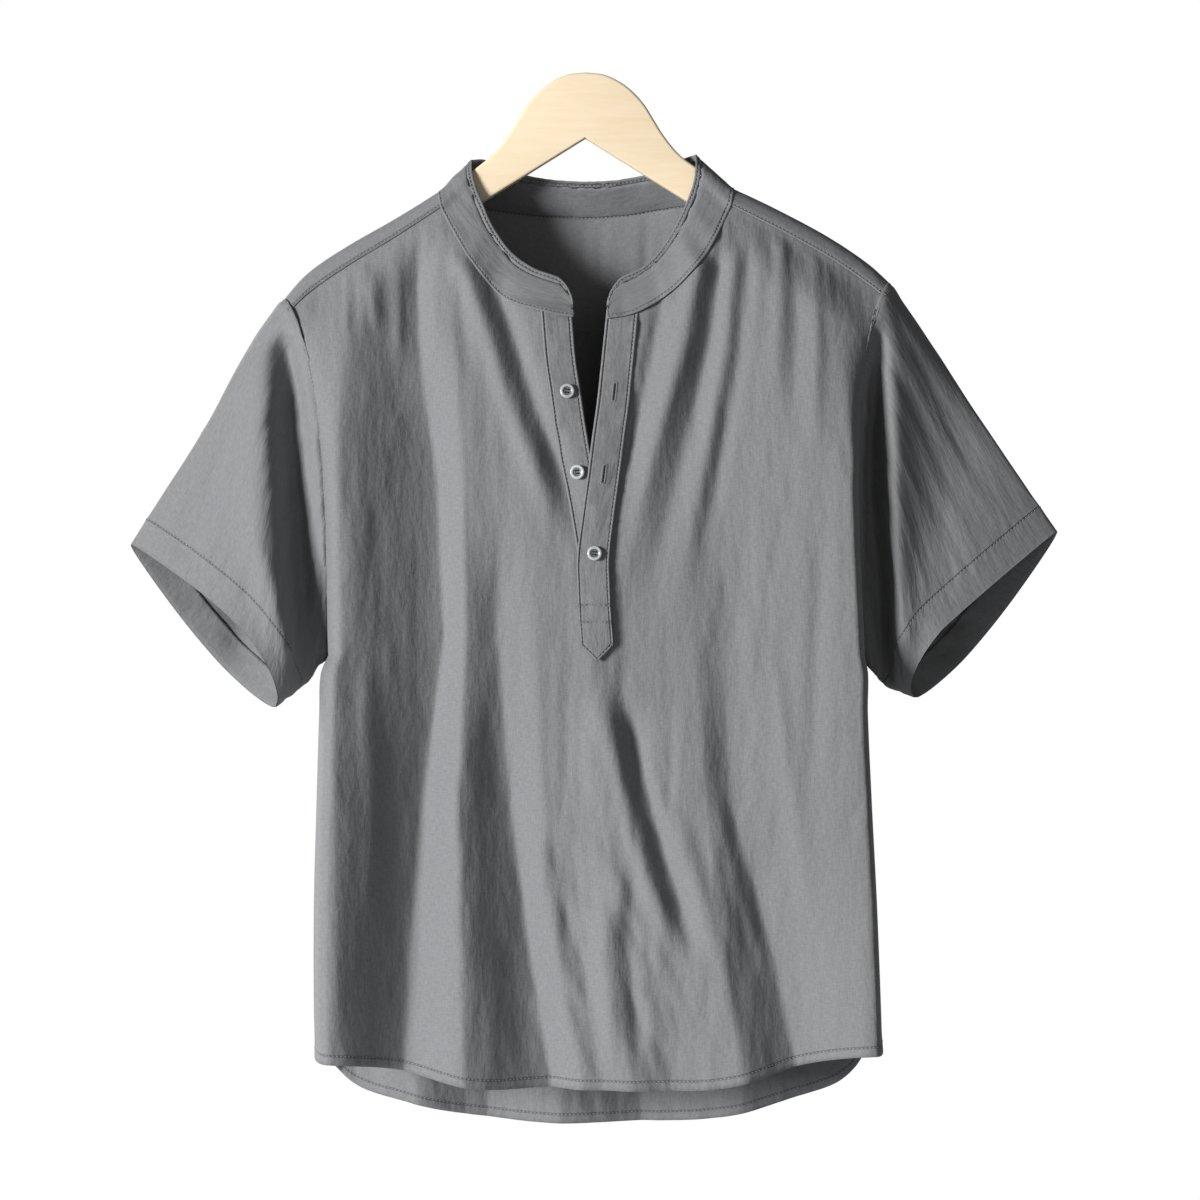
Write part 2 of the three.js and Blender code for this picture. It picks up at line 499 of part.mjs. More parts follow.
// One shoulder of the yoke: rows from the front seam over the ridge to the back seam, each from
// the armhole to the collar
function yokeShoulder(side) {
  const ridgeEnd = side === 'left' ? BACK_NECKLINE[0] : BACK_NECKLINE.at(-1)
  const ridgeNeck = at(ridgeEnd.x, ridgeEnd.y, ridgeEnd.drop)
  const backPlace = placeAtDrop(side, BACK_YOKE_DROP)
  const top = armholePoint(side, -1, 0)
  const ridge = pinEnds(YOKE_PLACES.map(place => {
    const x = lerp(top.x, ridgeNeck.x, place)
    return at(x, 0, ridgeDrop(x))
  }), top, ridgeNeck, ARMHOLE_ROUND)
  const seam = YOKE_PLACES.map(place => yokeSeam(side, place))
  const front = YOKE_FRONT_ROWS.slice(0, -1).map(part => {
    const angle = part * Math.PI / 2
    const row = ridge.map((crest, i) => {
      const p = seam[i].clone().lerp(crest, Math.sin(angle))
      return p.setY(seam[i].y * Math.cos(angle)).setZ(p.z + (part === 0 ? HALF_SEAM : 0))
    })
    const edge = armholePoint(side, -1, YOKE_FRONT_CORNER * (1 - Math.sin(angle)))
    return part === 0 ? row : pinEnds(row, edge, row.at(-1), ARMHOLE_ROUND)
  })
  const back = [...YOKE_BACK_ROWS].reverse().map(part => {
    const angle = part * Math.PI / 2
    const row = ridge.map(crest => backQuarter(backSeamPoint(crest.x), crest, part))
    const neck = backQuarter(backSeamPoint(signOf(side) * NECK_OUT), ridgeNeck, part)
    const edge = armholePoint(side, 1, backPlace * (1 - Math.sin(angle)))
    edge.z += part === 0 ? HALF_SEAM : 0
    return pinEnds(row, edge, neck, ARMHOLE_ROUND)
  })
  return [...front, ...back]
}

// The middle of the yoke: rows from the back seam up to the neckline, from left to right
function yokeMiddle() {
  const neckline = backNeckline()
  return YOKE_BACK_ROWS.map(part => neckline.map((top, i) => {
    const foot = backSeamPoint(lerp(-NECK_OUT, NECK_OUT, i / (neckline.length - 1)))
    return backQuarter(foot, top, part)
  }))
}

// Turns patches of points into one closed wall. Points that meet are welded, outer faces look
// away from the inside point, and a turning thickens the wall inwards
function wall(patches, inside, thickness, turning = () => 0) {
  const points = []
  const found = new Map()
  const weld = p => {
    const key = [p.x, p.y, p.z].map(value => Math.round(value * 1000)).join()
    if (!found.has(key)) {
      found.set(key, points.length)
      points.push(p)
    }
    return found.get(key)
  }
  let faces = []
  for (const rows of patches) {
    const ids = rows.map(row => row.map(weld))
    for (let i = 0; i + 1 < ids.length; i++) {
      for (let j = 0; j + 1 < ids[i].length; j++) {
        const [a, b, c, d] = [ids[i][j], ids[i][j + 1], ids[i + 1][j + 1], ids[i + 1][j]]
        const short = points[a].distanceTo(points[c]) < points[b].distanceTo(points[d])
        faces.push(...(short ? [[a, b, c], [a, c, d]] : [[a, b, d], [b, c, d]]))
      }
    }
  }
  faces = faces.filter(([a, b, c]) => a !== b && b !== c && c !== a)
  const normals = points.map(() => new THREE.Vector3())
  const [ab, ac] = [new THREE.Vector3(), new THREE.Vector3()]
  let outwards = 0
  for (const [a, b, c] of faces) {
    ab.subVectors(points[b], points[a])
    ac.subVectors(points[c], points[a])
    const normal = ab.cross(ac)
    outwards += normal.dot(points[a].clone().sub(inside))
    for (const id of [a, b, c]) normals[id].add(normal)
  }
  if (outwards < 0) {
    faces = faces.map(([a, b, c]) => [a, c, b])
    normals.forEach(normal => normal.negate())
  }
  const edges = new Map()
  for (const face of faces) {
    face.forEach((from, k) => edges.set(`${from},${face[(k + 1) % 3]}`, [from, face[(k + 1) % 3]]))
  }
  const free = [...edges.values()].filter(([from, to]) => !edges.has(`${to},${from}`))
  const count = points.length
  const position = []
  points.forEach((p, i) => {
    const outer = p.clone().addScaledVector(normals[i].normalize(), thickness / 2)
    position.push(outer.x, outer.y, outer.z)
  })
  points.forEach((p, i) => {
    const inner = p.clone().addScaledVector(normals[i], -thickness / 2 - turning(p))
    position.push(inner.x, inner.y, inner.z)
  })
  const index = faces.flatMap(([a, b, c]) => [a, b, c, a + count, c + count, b + count])
  for (const [from, to] of free) index.push(to, from, from + count, to, from + count, to + count)
  const geometry = new THREE.BufferGeometry()
  geometry.setAttribute('position', new THREE.Float32BufferAttribute(position, 3))
  geometry.setIndex(index)
  geometry.computeVertexNormals()
  return geometry
}

// A sleeve as a tube of rings, with its hem turned up inside
function sleeve(side) {
  const back = placeAtDrop(side, BACK_YOKE_DROP)
  const steps = (from, to, count) => range(count).slice(1).map(t => lerp(from, to, t))
  const quarter = (end, parts) => parts.map(part => end * (1 - Math.sin(part * Math.PI / 2))).reverse()
  const frontRounds = [
    ...quarter(YOKE_FRONT_CORNER, YOKE_FRONT_ROWS),
    ...steps(YOKE_FRONT_CORNER, ARMHOLE_MIDDLE, STEPS.neck), ...steps(ARMHOLE_MIDDLE, 1, STEPS.slit),
  ]
  const backRounds = [
    ...quarter(back, YOKE_BACK_ROWS), ...steps(back, ARMHOLE_MIDDLE, STEPS.shoulderBack),
    ...steps(ARMHOLE_MIDDLE, 1, STEPS.slit),
  ]
  const ring = along => {
    const front = frontRounds.map(round => sleevePoint(side, -1, round, along))
    const rear = backRounds.slice(0, -1).map(round => sleevePoint(side, 1, round, along))
    return [...front, ...rear.reverse()]
  }
  const rings = SLEEVE_RINGS.map(ring)
  const outward = new THREE.Vector3(signOf(side), 0, -0.45).normalize()
  const lowest = armholePoint(side, -1, 1).z
  rings[0] = rings[0].map(p => {
    const rise = smoothstep(p.z - lowest, ARMHOLE_GAP.from, ARMHOLE_GAP.to)
    const gap = lerp(ARMHOLE_GAP.under, ARMHOLE_GAP.top, rise)
    return p.addScaledVector(outward, gap)
  })
  const half = rings[Math.floor(rings.length / 2)]
  const middle = half.reduce((sum, p) => sum.add(p), new THREE.Vector3()).divideScalar(half.length)
  const hemPoints = new Set(rings.slice(SLEEVE_RINGS.findIndex(v => v > SLEEVE_HEM_FROM)).flat())
  return wall([rings], middle, CLOTH, p => (hemPoints.has(p) ? HEM_TURNING : 0))
}

// Points of the neck seam from the collar's left end round the back to its right end
function neckSeam() {
  const fromCurve = side => {
    const curve = necklineCurve(side)
    const end = COLLAR_ENDS[side]
    const top = NECKLINE[side].at(-1)
    const tip = COLLAR_TIP_PLACES.map(t => at(lerp(end.x, top.x, t), 0, lerp(end.drop, top.drop, t)))
    const rest = range(STEPS.neck).map(t => curve.getPointAt(t))
    return [...tip, ...rest].map(p => p.setY(faceDepth(-1, p.x, -p.z)))
  }
  const overShoulder = side =>
    yokeShoulder(side).slice(0, YOKE_FRONT_ROWS.length).map(row => row.at(-1))
  const left = [...fromCurve('left').slice(0, -1), ...overShoulder('left')]
  const right = [...fromCurve('right').slice(0, -1), ...overShoulder('right')]
  return { left, back: backNeckline(), right }
}

// Running lengths along a row of points, and the row's points on a curve at the same shares
const runningLengths = row => row.reduce(
  (lengths, p, i) => [...lengths, i ? lengths.at(-1) + p.distanceTo(row[i - 1]) : 0], [])
function matchOnCurve(row, points) {
  const curve = new THREE.CatmullRomCurve3(points.map(p => at(p.x, p.y, p.drop)), false, 'centripetal')
  const lengths = runningLengths(row)
  return lengths.map(length => curve.getPointAt(length / lengths.at(-1)))
}

// The collar band: it stands on the neck seam, leans inwards and has rounded front corners
function collar() {
  const { left, back, right } = neckSeam()
  const seam = [...left.slice(0, -1), ...back, ...right.slice(0, -1).reverse()]
  const top = [
    ...matchOnCurve(left, [...COLLAR_TOP.left].reverse()).slice(0, -1),
    ...matchOnCurve(back, COLLAR_TOP.back),
    ...matchOnCurve(right, [...COLLAR_TOP.right].reverse()).slice(0, -1).reverse(),
  ]
  const lengths = runningLengths(seam)
  const rows = range(STEPS.collar).map(part => seam.map((p, i) => {
    const fromEnd = Math.min(lengths[i], lengths.at(-1) - lengths[i], COLLAR_END_RADIUS)
    const corner = Math.sqrt(1 - (1 - fromEnd / COLLAR_END_RADIUS) ** 2)
    const height = lerp(COLLAR_END_HEIGHT / COLLAR_HEIGHT, 1, corner)
    const start = NECK_GAP / COLLAR_HEIGHT
    return p.clone().lerp(top[i], lerp(start, height, part))
  }))
  return wall([rows], new THREE.Vector3(0, 0, -200), COLLAR_CLOTH)
}

// A placket strip, made from the front's own surface and moved out
function placket(spec) {
  const overlap = drop => (spec.overlap ? spec.overlap * smoothstep(drop, spec.liftFrom, spec.liftTo) : 0)
  const rows = range(PLACKET_ROWS).map(t => range(PLACKET_COLUMNS).map(across => {
    const side = 2 * across - 1
    const end = spec.to + (spec.point ? spec.point * (1 - Math.abs(side)) : 0)
    const drop = lerp(spec.from, end, t)
    const x = read(spec.line, 'drop', 'x', drop) + side * spec.width / 2
    return at(x, faceDepth(-1, x, drop) - spec.lift - overlap(drop), drop)
  }))
  return wall([rows], new THREE.Vector3(0, 0, -400), CLOTH)
}

// A three.js geometry as a solid that can be cut, and back
function toSolid(geometry) {
  const plain = geometry.clone()
  plain.deleteAttribute('normal')
  plain.deleteAttribute('uv')
  const merged = mergeVertices(plain, 1e-3)
  const vertProperties = new Float32Array(merged.attributes.position.array)
  const triVerts = new Uint32Array(merged.index.array)
  return new wasm.Manifold(new wasm.Mesh({ numProp: 3, vertProperties, triVerts }))
}
function fromSolid(solid) {
  const mesh = solid.getMesh()
  const geometry = new THREE.BufferGeometry()
  geometry.setAttribute('position', new THREE.BufferAttribute(new Float32Array(mesh.vertProperties), 3))
  geometry.setIndex(new THREE.BufferAttribute(new Uint32Array(mesh.triVerts), 1))
  geometry.computeVertexNormals()
  return geometry
}
const cut = (geometry, tools) =>
  fromSolid(tools.reduce((solid, tool) => solid.subtract(toSolid(tool)), toSolid(geometry)))

// Outward direction of the front's surface, and the turn that lays a flat piece on it
function lieOnFront(x, drop) {
  const step = 3
  const across = at(x + step, faceDepth(-1, x + step, drop), drop)
    .sub(at(x - step, faceDepth(-1, x - step, drop), drop))
  const up = at(x, faceDepth(-1, x, drop - step), drop - step)
    .sub(at(x, faceDepth(-1, x, drop + step), drop + step))
  const normal = across.cross(up).normalize()
  if (normal.y > 0) normal.negate()
  return { normal, turn: new THREE.Quaternion().setFromUnitVectors(new THREE.Vector3(0, 1, 0), normal) }
}

// The over placket with its two open buttonholes
function placketWithButtonholes() {
  const spec = PLACKET_BUTTONHOLE
  const tools = BUTTONHOLE.drops.map(drop => {
    const middle = read(spec.line, 'drop', 'x', drop)
    const slope = (read(spec.line, 'drop', 'x', drop + 5) - read(spec.line, 'drop', 'x', drop - 5)) / 10
    const slot = new THREE.BoxGeometry(BUTTONHOLE.width, 12, BUTTONHOLE.length)
    slot.rotateY(Math.atan(slope))
    slot.translate(middle, faceDepth(-1, middle, drop), -drop)
    return slot
  })
  return cut(placket(spec), tools)
}

// A round button with a raised rim and four thread holes, lying along +Y
function button() {
  const b = BUTTON
  const profile = [
    [0, 0], [b.radius - b.edge, 0], [b.radius, b.edge], [b.radius, b.thick - b.edge],
    [b.radius - b.edge, b.thick], [b.radius - b.rimWidth, b.thick],
    [b.radius - b.rimWidth - b.slope, b.thick - b.recess],
    [0, b.thick - b.recess],
  ].map(([radius, height]) => new THREE.Vector2(radius, height))
  const disc = new THREE.LatheGeometry(profile, 20)
  const holes = [[-1, -1], [-1, 1], [1, -1], [1, 1]].map(([i, k]) => {
    const drill = new THREE.CylinderGeometry(b.hole, b.hole, 4 * b.thick, 6)
    return drill.translate(i * b.spread, 0, k * b.spread)
  })
  return cut(disc, holes)
}

// The hanger's outline as one side's points, from the apex to the arm's end and back to the notch
function hangerSide(side) {
  const sign = signOf(side)
  const top = new THREE.SplineCurve(HANGER_TOP.map(p => {
    const shift = HANGER.topMiddle * (1 - smoothstep(p.out, HANGER.middleFrom, HANGER.middleTo))
    return new THREE.Vector2(sign * p.out + shift, -p.drop)
  }))
  const points = top.getPoints(20)
  for (let out = HANGER.armFrom; out <= HANGER.reach - HANGER.tipCut; out += HANGER.armStep) {
    points.push(new THREE.Vector2(sign * out, -ridgeDrop(sign * out) - HANGER.below))
  }
  const endDrop = ridgeDrop(sign * HANGER.reach) + HANGER.below
  const under = HANGER_UNDER[side]
  points.push(
    new THREE.Vector2(sign * HANGER.reach, -endDrop - HANGER.cornerRise),
    new THREE.Vector2(sign * HANGER.reach, -endDrop - HANGER.armHeight + HANGER.tipCut),
    new THREE.Vector2(sign * (HANGER.reach - HANGER.tipCut), -endDrop - HANGER.armHeight),
    new THREE.Vector2(sign * under.out, -under.drop),
  )
  return points
}

// A flat board with rounded edges and a pilot hole for the hook
function hanger() {
  const right = hangerSide('right')
  const left = hangerSide('left').slice(1).reverse()
  const notch = new THREE.Vector2(HANGER_NOTCH.x, -HANGER_NOTCH.drop)
  const outline = new THREE.Shape([...right, notch, ...left])
  const board = new THREE.ExtrudeGeometry(outline, {
    depth: HANGER.thick - 2 * HANGER.bevel,
    bevelThickness: HANGER.bevel,
    bevelSize: HANGER.bevel,
    bevelOffset: -HANGER.bevel,
    bevelSegments: HANGER.bevelSteps,
    curveSegments: 1,
  })
  board.rotateX(Math.PI / 2).translate(0, HANGER.thick / 2 - HANGER.bevel, 0)
  const { radius, depth } = PILOT_HOLE
  const drill = new THREE.CylinderGeometry(radius, radius, 2 * depth, 12).rotateX(Math.PI / 2)
  return cut(board, [drill])
}

const group = new THREE.Group()
function add(name, geometry, material) {
  const mesh = new THREE.Mesh(geometry, material)
  mesh.name = name
  group.add(mesh)
  return mesh
}

const bodyCentre = new THREE.Vector3(0, 0, -450)
const mirrored = rows => rows.map(row => [...row].reverse())

add('front_panel', wall([frontHalf('left'), mirrored(frontHalf('right'))], bodyCentre, CLOTH), cloth())
add('back_panel', wall([backRows()], bodyCentre, CLOTH), cloth())
const yokePatches = [yokeShoulder('left'), mirrored(yokeShoulder('right')), yokeMiddle().reverse()]
add('yoke', wall(yokePatches, bodyCentre, CLOTH), cloth())
for (const side of ['left', 'right']) add(`sleeve_${side}`, sleeve(side), cloth())
add('collar_band', collar(), cloth())
add('placket_button', placket(PLACKET_BUTTON), cloth())
add('placket_buttonhole', placketWithButtonholes(), cloth())

const plastic = new THREE.MeshStandardMaterial({ color: COLOURS.button, roughness: 0.35, metalness: 0 })
for (const { name, x, drop, on } of BUTTONS) {
  const mesh = add(name, button(), plastic)
  const { normal, turn } = lieOnFront(x, drop)
  const lift = PLACKET_BUTTON.lift + (on === 'buttonhole' ? PLACKET_BUTTONHOLE.overlap : 0)
  mesh.quaternion.copy(turn)
  mesh.position.copy(at(x, faceDepth(-1, x, drop) - lift, drop))
  mesh.position.addScaledVector(normal, CLOTH / 2 + BUTTON.gap)
}

const wood = new THREE.MeshStandardMaterial({ color: COLOURS.wood, roughness: 0.55, metalness: 0 })
add('hanger', hanger(), wood)

export default group
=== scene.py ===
"""Short-sleeved shirt with a band collar on a flat wooden hanger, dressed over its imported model.

Lengths are millimetres until a mesh is made, and metres from there on. +Z is up and the front
faces -Y. Left and right are as seen from the front. A drop is a distance below the origin.
"""

import logging
import math
from dataclasses import dataclass, field
from enum import Enum

import bmesh
import bpy
import numpy as np
from mathutils import Matrix, Vector


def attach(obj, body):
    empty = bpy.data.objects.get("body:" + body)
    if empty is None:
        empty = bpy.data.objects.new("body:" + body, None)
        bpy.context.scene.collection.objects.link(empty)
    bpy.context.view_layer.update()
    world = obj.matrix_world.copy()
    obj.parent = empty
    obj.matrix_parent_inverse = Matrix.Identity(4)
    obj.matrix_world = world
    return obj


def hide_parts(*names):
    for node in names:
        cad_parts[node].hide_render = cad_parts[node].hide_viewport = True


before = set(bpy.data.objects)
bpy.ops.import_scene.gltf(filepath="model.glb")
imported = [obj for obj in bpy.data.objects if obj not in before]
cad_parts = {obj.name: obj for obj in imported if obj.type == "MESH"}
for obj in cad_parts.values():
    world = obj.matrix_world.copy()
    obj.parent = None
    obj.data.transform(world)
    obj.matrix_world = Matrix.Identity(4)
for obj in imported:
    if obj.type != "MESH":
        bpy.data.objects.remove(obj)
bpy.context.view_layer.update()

log = logging.getLogger("shirt")
Array = np.ndarray
Material, Object, Mesh = bpy.types.Material, bpy.types.Object, bpy.types.Mesh
Node, NodeSocket, NodeTree = bpy.types.Node, bpy.types.NodeSocket, bpy.types.NodeTree
Pair, Triple = tuple[float, float], tuple[float, float, float]
Lines = list[tuple[Array, Array]]
MM = 0.001
TINY = 1e-6
WELD = 100  # steps in a millimetre, within which points are welded
BODY = "root"


class Side(Enum):
    """A side of the shirt, as seen from the front."""

    LEFT = "left"
    RIGHT = "right"

    @property
    def sign(self) -> int:
        """Direction of the side along X."""
        return -1 if self is Side.LEFT else 1


class Face(Enum):
    """The front or the back of the shirt, with its direction along Y."""

    FRONT = -1
    BACK = 1


class Edge(Enum):
    """An edge of a grid of points: the axis that leads away from it, and whether it is the last."""

    FIRST_ROW = (0, False)
    LAST_ROW = (0, True)
    FIRST_COLUMN = (1, False)
    LAST_COLUMN = (1, True)

    @property
    def axis(self) -> int:
        """Axis that leads away from the edge."""
        return self.value[0]

    @property
    def is_last(self) -> bool:
        """Whether the edge lies at the end of that axis."""
        return self.value[1]


# ---- shared mathematics


def mix(start: Array, end: Array, part: Array) -> Array:
    """Value between start and end at a part from 0 to 1."""
    return start + (end - start) * part


def ease(value: Array, low: float, high: float) -> Array:
    """Smooth step from 0 at low to 1 at high."""
    part = np.clip((np.asarray(value, float) - low) / (high - low), 0.0, 1.0)
    return part * part * (3 - 2 * part)


def unit(vectors: Array) -> Array:
    """Vectors along the last axis, made one long."""
    return vectors / np.maximum(np.linalg.norm(vectors, axis=-1, keepdims=True), 1e-9)


def paired(first: Array, second: Array) -> tuple[Array, ...]:
    """Two values as arrays of one shape."""
    return tuple(np.broadcast_arrays(np.asarray(first, float), np.asarray(second, float)))


def read_lines(place: float, keys: Array, lines: Array) -> Array:
    """Reads each line of points where its key reaches a place.

    Args:
        place: the key's value.
        keys: a rising key for each point, line by line.
        lines: the lines of points.

    Returns:
        One point for each line.
    """
    return np.array([[np.interp(place, key, line[:, k]) for k in range(3)]
                     for key, line in zip(keys, lines)])


def place_at(x: Array, y: Array, drop: Array) -> Array:
    """Points from their X, Y and drop.

    Args:
        x: places across.
        y: places to the back.
        drop: distances below the origin.

    Returns:
        The points, with XYZ as the last axis.
    """
    x, y, drop = np.broadcast_arrays(x, y, drop)
    return np.stack([x, y, -drop], axis=-1).astype(float)


class Profile:
    """Named columns of sizes, read smoothly along the first one."""

    def __init__(self, key: list[float], **columns: list[float]) -> None:
        """Keeps the columns and works out their slopes.

        Args:
            key: places of the rows, rising.
            columns: one value for each row, by name.
        """
        self.key = np.array(key, float)
        index = np.arange(len(key))
        before, after = np.maximum(index - 1, 0), np.minimum(index + 1, len(key) - 1)
        run = self.key[after] - self.key[before]
        self.columns = {name: np.array(values, float) for name, values in columns.items()}
        self.slopes = {n: (v[after] - v[before]) / run for n, v in self.columns.items()}

    def read(self, column: str, place: Array) -> Array:
        """Smooth value of a column.

        Args:
            column: the column's name.
            place: where to read it along the key.

        Returns:
            The values at those places.
        """
        values, slopes = self.columns[column], self.slopes[column]
        i = np.searchsorted(self.key[1:-1], place, side="left")
        span = self.key[i + 1] - self.key[i]
        t = np.clip((place - self.key[i]) / span, 0.0, 1.0)
        start = values[i] * (1 + 2 * t) * (1 - t) ** 2 + slopes[i] * span * t * (1 - t) ** 2
        end = values[i + 1] * (3 - 2 * t) * t**2 - slopes[i + 1] * span * (1 - t) * t**2
        return start + end


def rumple(across: Array, along: Array, cell: Pair, seed: int) -> Array:
    """Smooth random heights, for creases that have no order.

    Args:
        across: places across the creases.
        along: places along them.
        cell: their width and length.
        seed: picks another pattern.

    Returns:
        Heights between -1 and 1.
    """
    u, v = np.asarray(across, float) / cell[0], np.asarray(along, float) / cell[1]
    i, j = np.floor(u).astype(np.int64), np.floor(v).astype(np.int64)
    s, t = u - i, v - j
    s, t = s * s * s * (s * (6 * s - 15) + 10), t * t * t * (t * (6 * t - 15) + 10)

    def corner(a: Array, b: Array) -> Array:
        """Random height at one corner of a cell."""
        h = (a * 374761393 + b * 668265263 + seed * 974634777) & 0xFFFFFFFF
        h = ((h ^ (h >> 13)) * 1274126177) & 0xFFFFFFFF
        return ((h ^ (h >> 16)) & 0xFFFFFFFF) / 0x7FFFFFFF - 1.0

    near = mix(corner(i, j), corner(i + 1, j), s)
    return mix(near, mix(corner(i, j + 1), corner(i + 1, j + 1), s), t)


def rumples(layers: list | tuple, across: Array, along: Array, seed: int) -> Array:
    """Sum of layers of random heights.

    Args:
        layers: the height and the cell of each.
        across: places across the creases.
        along: places along them.
        seed: the first layer's; each next one's is 1 more.

    Returns:
        The heights.
    """
    return sum(height * rumple(across, along, cell, seed + k)
               for k, (height, cell) in enumerate(layers))


def lengths_along(points: Array, axis: int) -> Array:
    """Running length along the rows or columns of a grid.

    Args:
        points: a grid or a line of points.
        axis: the axis to run along.

    Returns:
        The running lengths, starting at 0.
    """
    steps = np.linalg.norm(np.diff(points, axis=axis), axis=-1)
    start = np.zeros_like(np.take(steps, [0], axis=axis))
    return np.concatenate([start, np.cumsum(steps, axis=axis)], axis=axis)


class SmoothLine:
    """A smooth line through a few points, read by its share of length."""

    STEPS = 40

    def __init__(self, points: Array) -> None:
        """Lays the line through the points.

        Args:
            points: the points, in order.
        """
        points = np.asarray(points, float)
        p = np.vstack([2 * points[0] - points[1], points, 2 * points[-1] - points[-2]])
        t = np.linspace(0, 1, self.STEPS, endpoint=False)[:, None]
        spans = []
        for a, b, c, d in zip(p, p[1:], p[2:], p[3:]):
            ab, bc, cd = (math.sqrt(np.linalg.norm(n - m)) for m, n in ((a, b), (b, c), (c, d)))
            leave = ((b - a) / ab - (c - a) / (ab + bc) + (c - b) / bc) * bc
            reach = ((c - b) / bc - (d - b) / (bc + cd) + (d - c) / cd) * bc
            spans.append(b + leave * t + (3 * (c - b) - 2 * leave - reach) * t**2
                         + (2 * (b - c) + leave + reach) * t**3)
        self.points = np.vstack([*spans, points[-1]])
        self.lengths = lengths_along(self.points, 0)

    def at(self, share: Array) -> Array:
        """Points at shares of the line's length, from 0 to 1."""
        length = np.asarray(share, float) * self.lengths[-1]
        return np.stack([np.interp(length, self.lengths, c) for c in self.points.T], axis=-1)


# ---- the shirt's form


@dataclass(frozen=True)
class Fold:
    """A fold that runs down a panel, with its place and height at six drops."""

    x: tuple[float, ...]
    out: tuple[float, ...]


@dataclass(frozen=True)
class Crease:
    """A single soft ridge (out above 0) or trough along a line that fades at its ends."""

    line: tuple[Pair, ...]
    width: float
    out: float
    fade: float = 0.3
    fade_end: float | None = None

    def depth(self, x: Array, drop: Array) -> Array:
        """How far the crease stands out at a place.

        Args:
            x: places across.
            drop: distances below the origin.

        Returns:
            The heights, with a trough's below 0.
        """
        line = np.array(self.line, float)
        lengths = lengths_along(line, 0)
        nearest = np.full(np.shape(x), np.inf)
        share = np.zeros(np.shape(x))
        for start, end, length in zip(line, line[1:], lengths):
            way = end - start
            t = ((x - start[0]) * way[0] + (drop - start[1]) * way[1]) / (way @ way)
            inside = np.clip(t, 0.0, 1.0)
            gap = np.hypot(x - start[0] - way[0] * inside, drop - start[1] - way[1] * inside)
            share = np.where(gap < nearest, (length + inside * np.hypot(*way)) / lengths[-1], share)
            nearest = np.minimum(gap, nearest)
        last = self.fade if self.fade_end is None else self.fade_end
        ends = ease(share, -TINY, self.fade) * (1 - ease(share, 1 - last, 1.0 + TINY))
        return self.out * ends * np.exp(-((nearest / self.width) ** 2))


def creased(creases: tuple[Crease, ...], x: Array, drop: Array) -> Array:
    """How far some creases stand out together at a place."""
    return sum(crease.depth(x, drop) for crease in creases)


# A fold is its places across and its heights at these drops. A crease is its (x, drop) line, its
# width, its height and the shares of its length over which its start and its end fade.
FOLD_DROPS = (210, 327, 453, 578, 704, 798)
FRONT_FOLDS = (
    Fold((-190, -198, -198, -197, -197, -196), (10, 16, 18, 20, 19, 16)),
    Fold((-136, -119, -114, -131, -141, -146), (-13, -21, -21, -26, -25, -21)),
    Fold((-104, -98, -96, -102, -99, -96), (2, 1, 0, 1, 4, 6)),
    Fold((-58, -66, -72, -62, -46, -30), (2, 1, -10, -24, -29, -27)),
    Fold((-36, -40, -40, -34, -24, -4), (3, 4, 0, -7, -10, -6)),
    Fold((-20, -20, -20, -14, -4, 10), (2, 3, 1, -6, -10, -6)),
    Fold((-2, 0, 2, 12, 28, 34), (0, 3, 4, 3, 3, 2)),
    Fold((30, 30, 28, 32, 54, 64), (-2, -1, 0, -2, -1, -4)),
    Fold((80, 80, 84, 92, 107, 122), (0, 0, 2, 4, 7, 8)),
    Fold((103, 105, 107, 112, 146, 166), (1, -1, -2, -5, -14, -15)),
    Fold((196, 204, 212, 216, 218, 220), (14, 19, 20, 19, 17, 14)),
)
BACK_FOLDS = (
    Fold((-170, -176, -180, -184, -188, -190), (4, 6, 8, 9, 10, 10)),
    Fold((-120, -118, -122, -128, -132, -136), (-3, -5, -8, -10, -11, -11)),
    Fold((-66, -62, -66, -72, -78, -82), (2, 4, 6, 8, 9, 10)),
    Fold((-8, -4, -2, -8, -16, -22), (-2, -3, -5, -7, -8, -9)),
    Fold((52, 56, 58, 54, 48, 44), (2, 4, 6, 7, 8, 9)),
    Fold((112, 112, 116, 118, 120, 124), (-3, -5, -7, -9, -10, -10)),
    Fold((168, 174, 180, 186, 192, 196), (4, 6, 8, 9, 10, 10)),
)
# From the collar and the shoulders down to the placket
DRAG_LINES = (
    Crease(((-106, 140), (-81, 206), (-60, 272), (-37, 332), (-22, 385)), 8, 5, 0.08, 0.3),
    Crease(((-89, 134), (-61, 206), (-40, 272), (-17, 332), (-4, 385)), 8, -6.5, 0.08, 0.3),
    Crease(((-104, 134), (-100, 200), (-92, 262)), 7, -2.5, 0.4),
    Crease(((60, 176), (46, 250), (35, 300), (26, 350)), 6, -4, 0.15, 0.4),
    Crease(((90, 140), (76, 215), (58, 280), (42, 345), (28, 410), (20, 470)), 9, 7.5, 0.06, 0.7),
    Crease(((106, 140), (96, 215), (82, 280), (66, 345), (50, 410), (38, 470)), 9, -6, 0.06, 0.7),
    Crease(((116, 130), (107, 228), (95, 300), (80, 375), (66, 450)), 7, 3.6, 0.1, 0.6),
    Crease(((128, 130), (119, 228), (107, 300), (91, 390), (76, 460)), 7, -3.4, 0.1, 0.6),
)
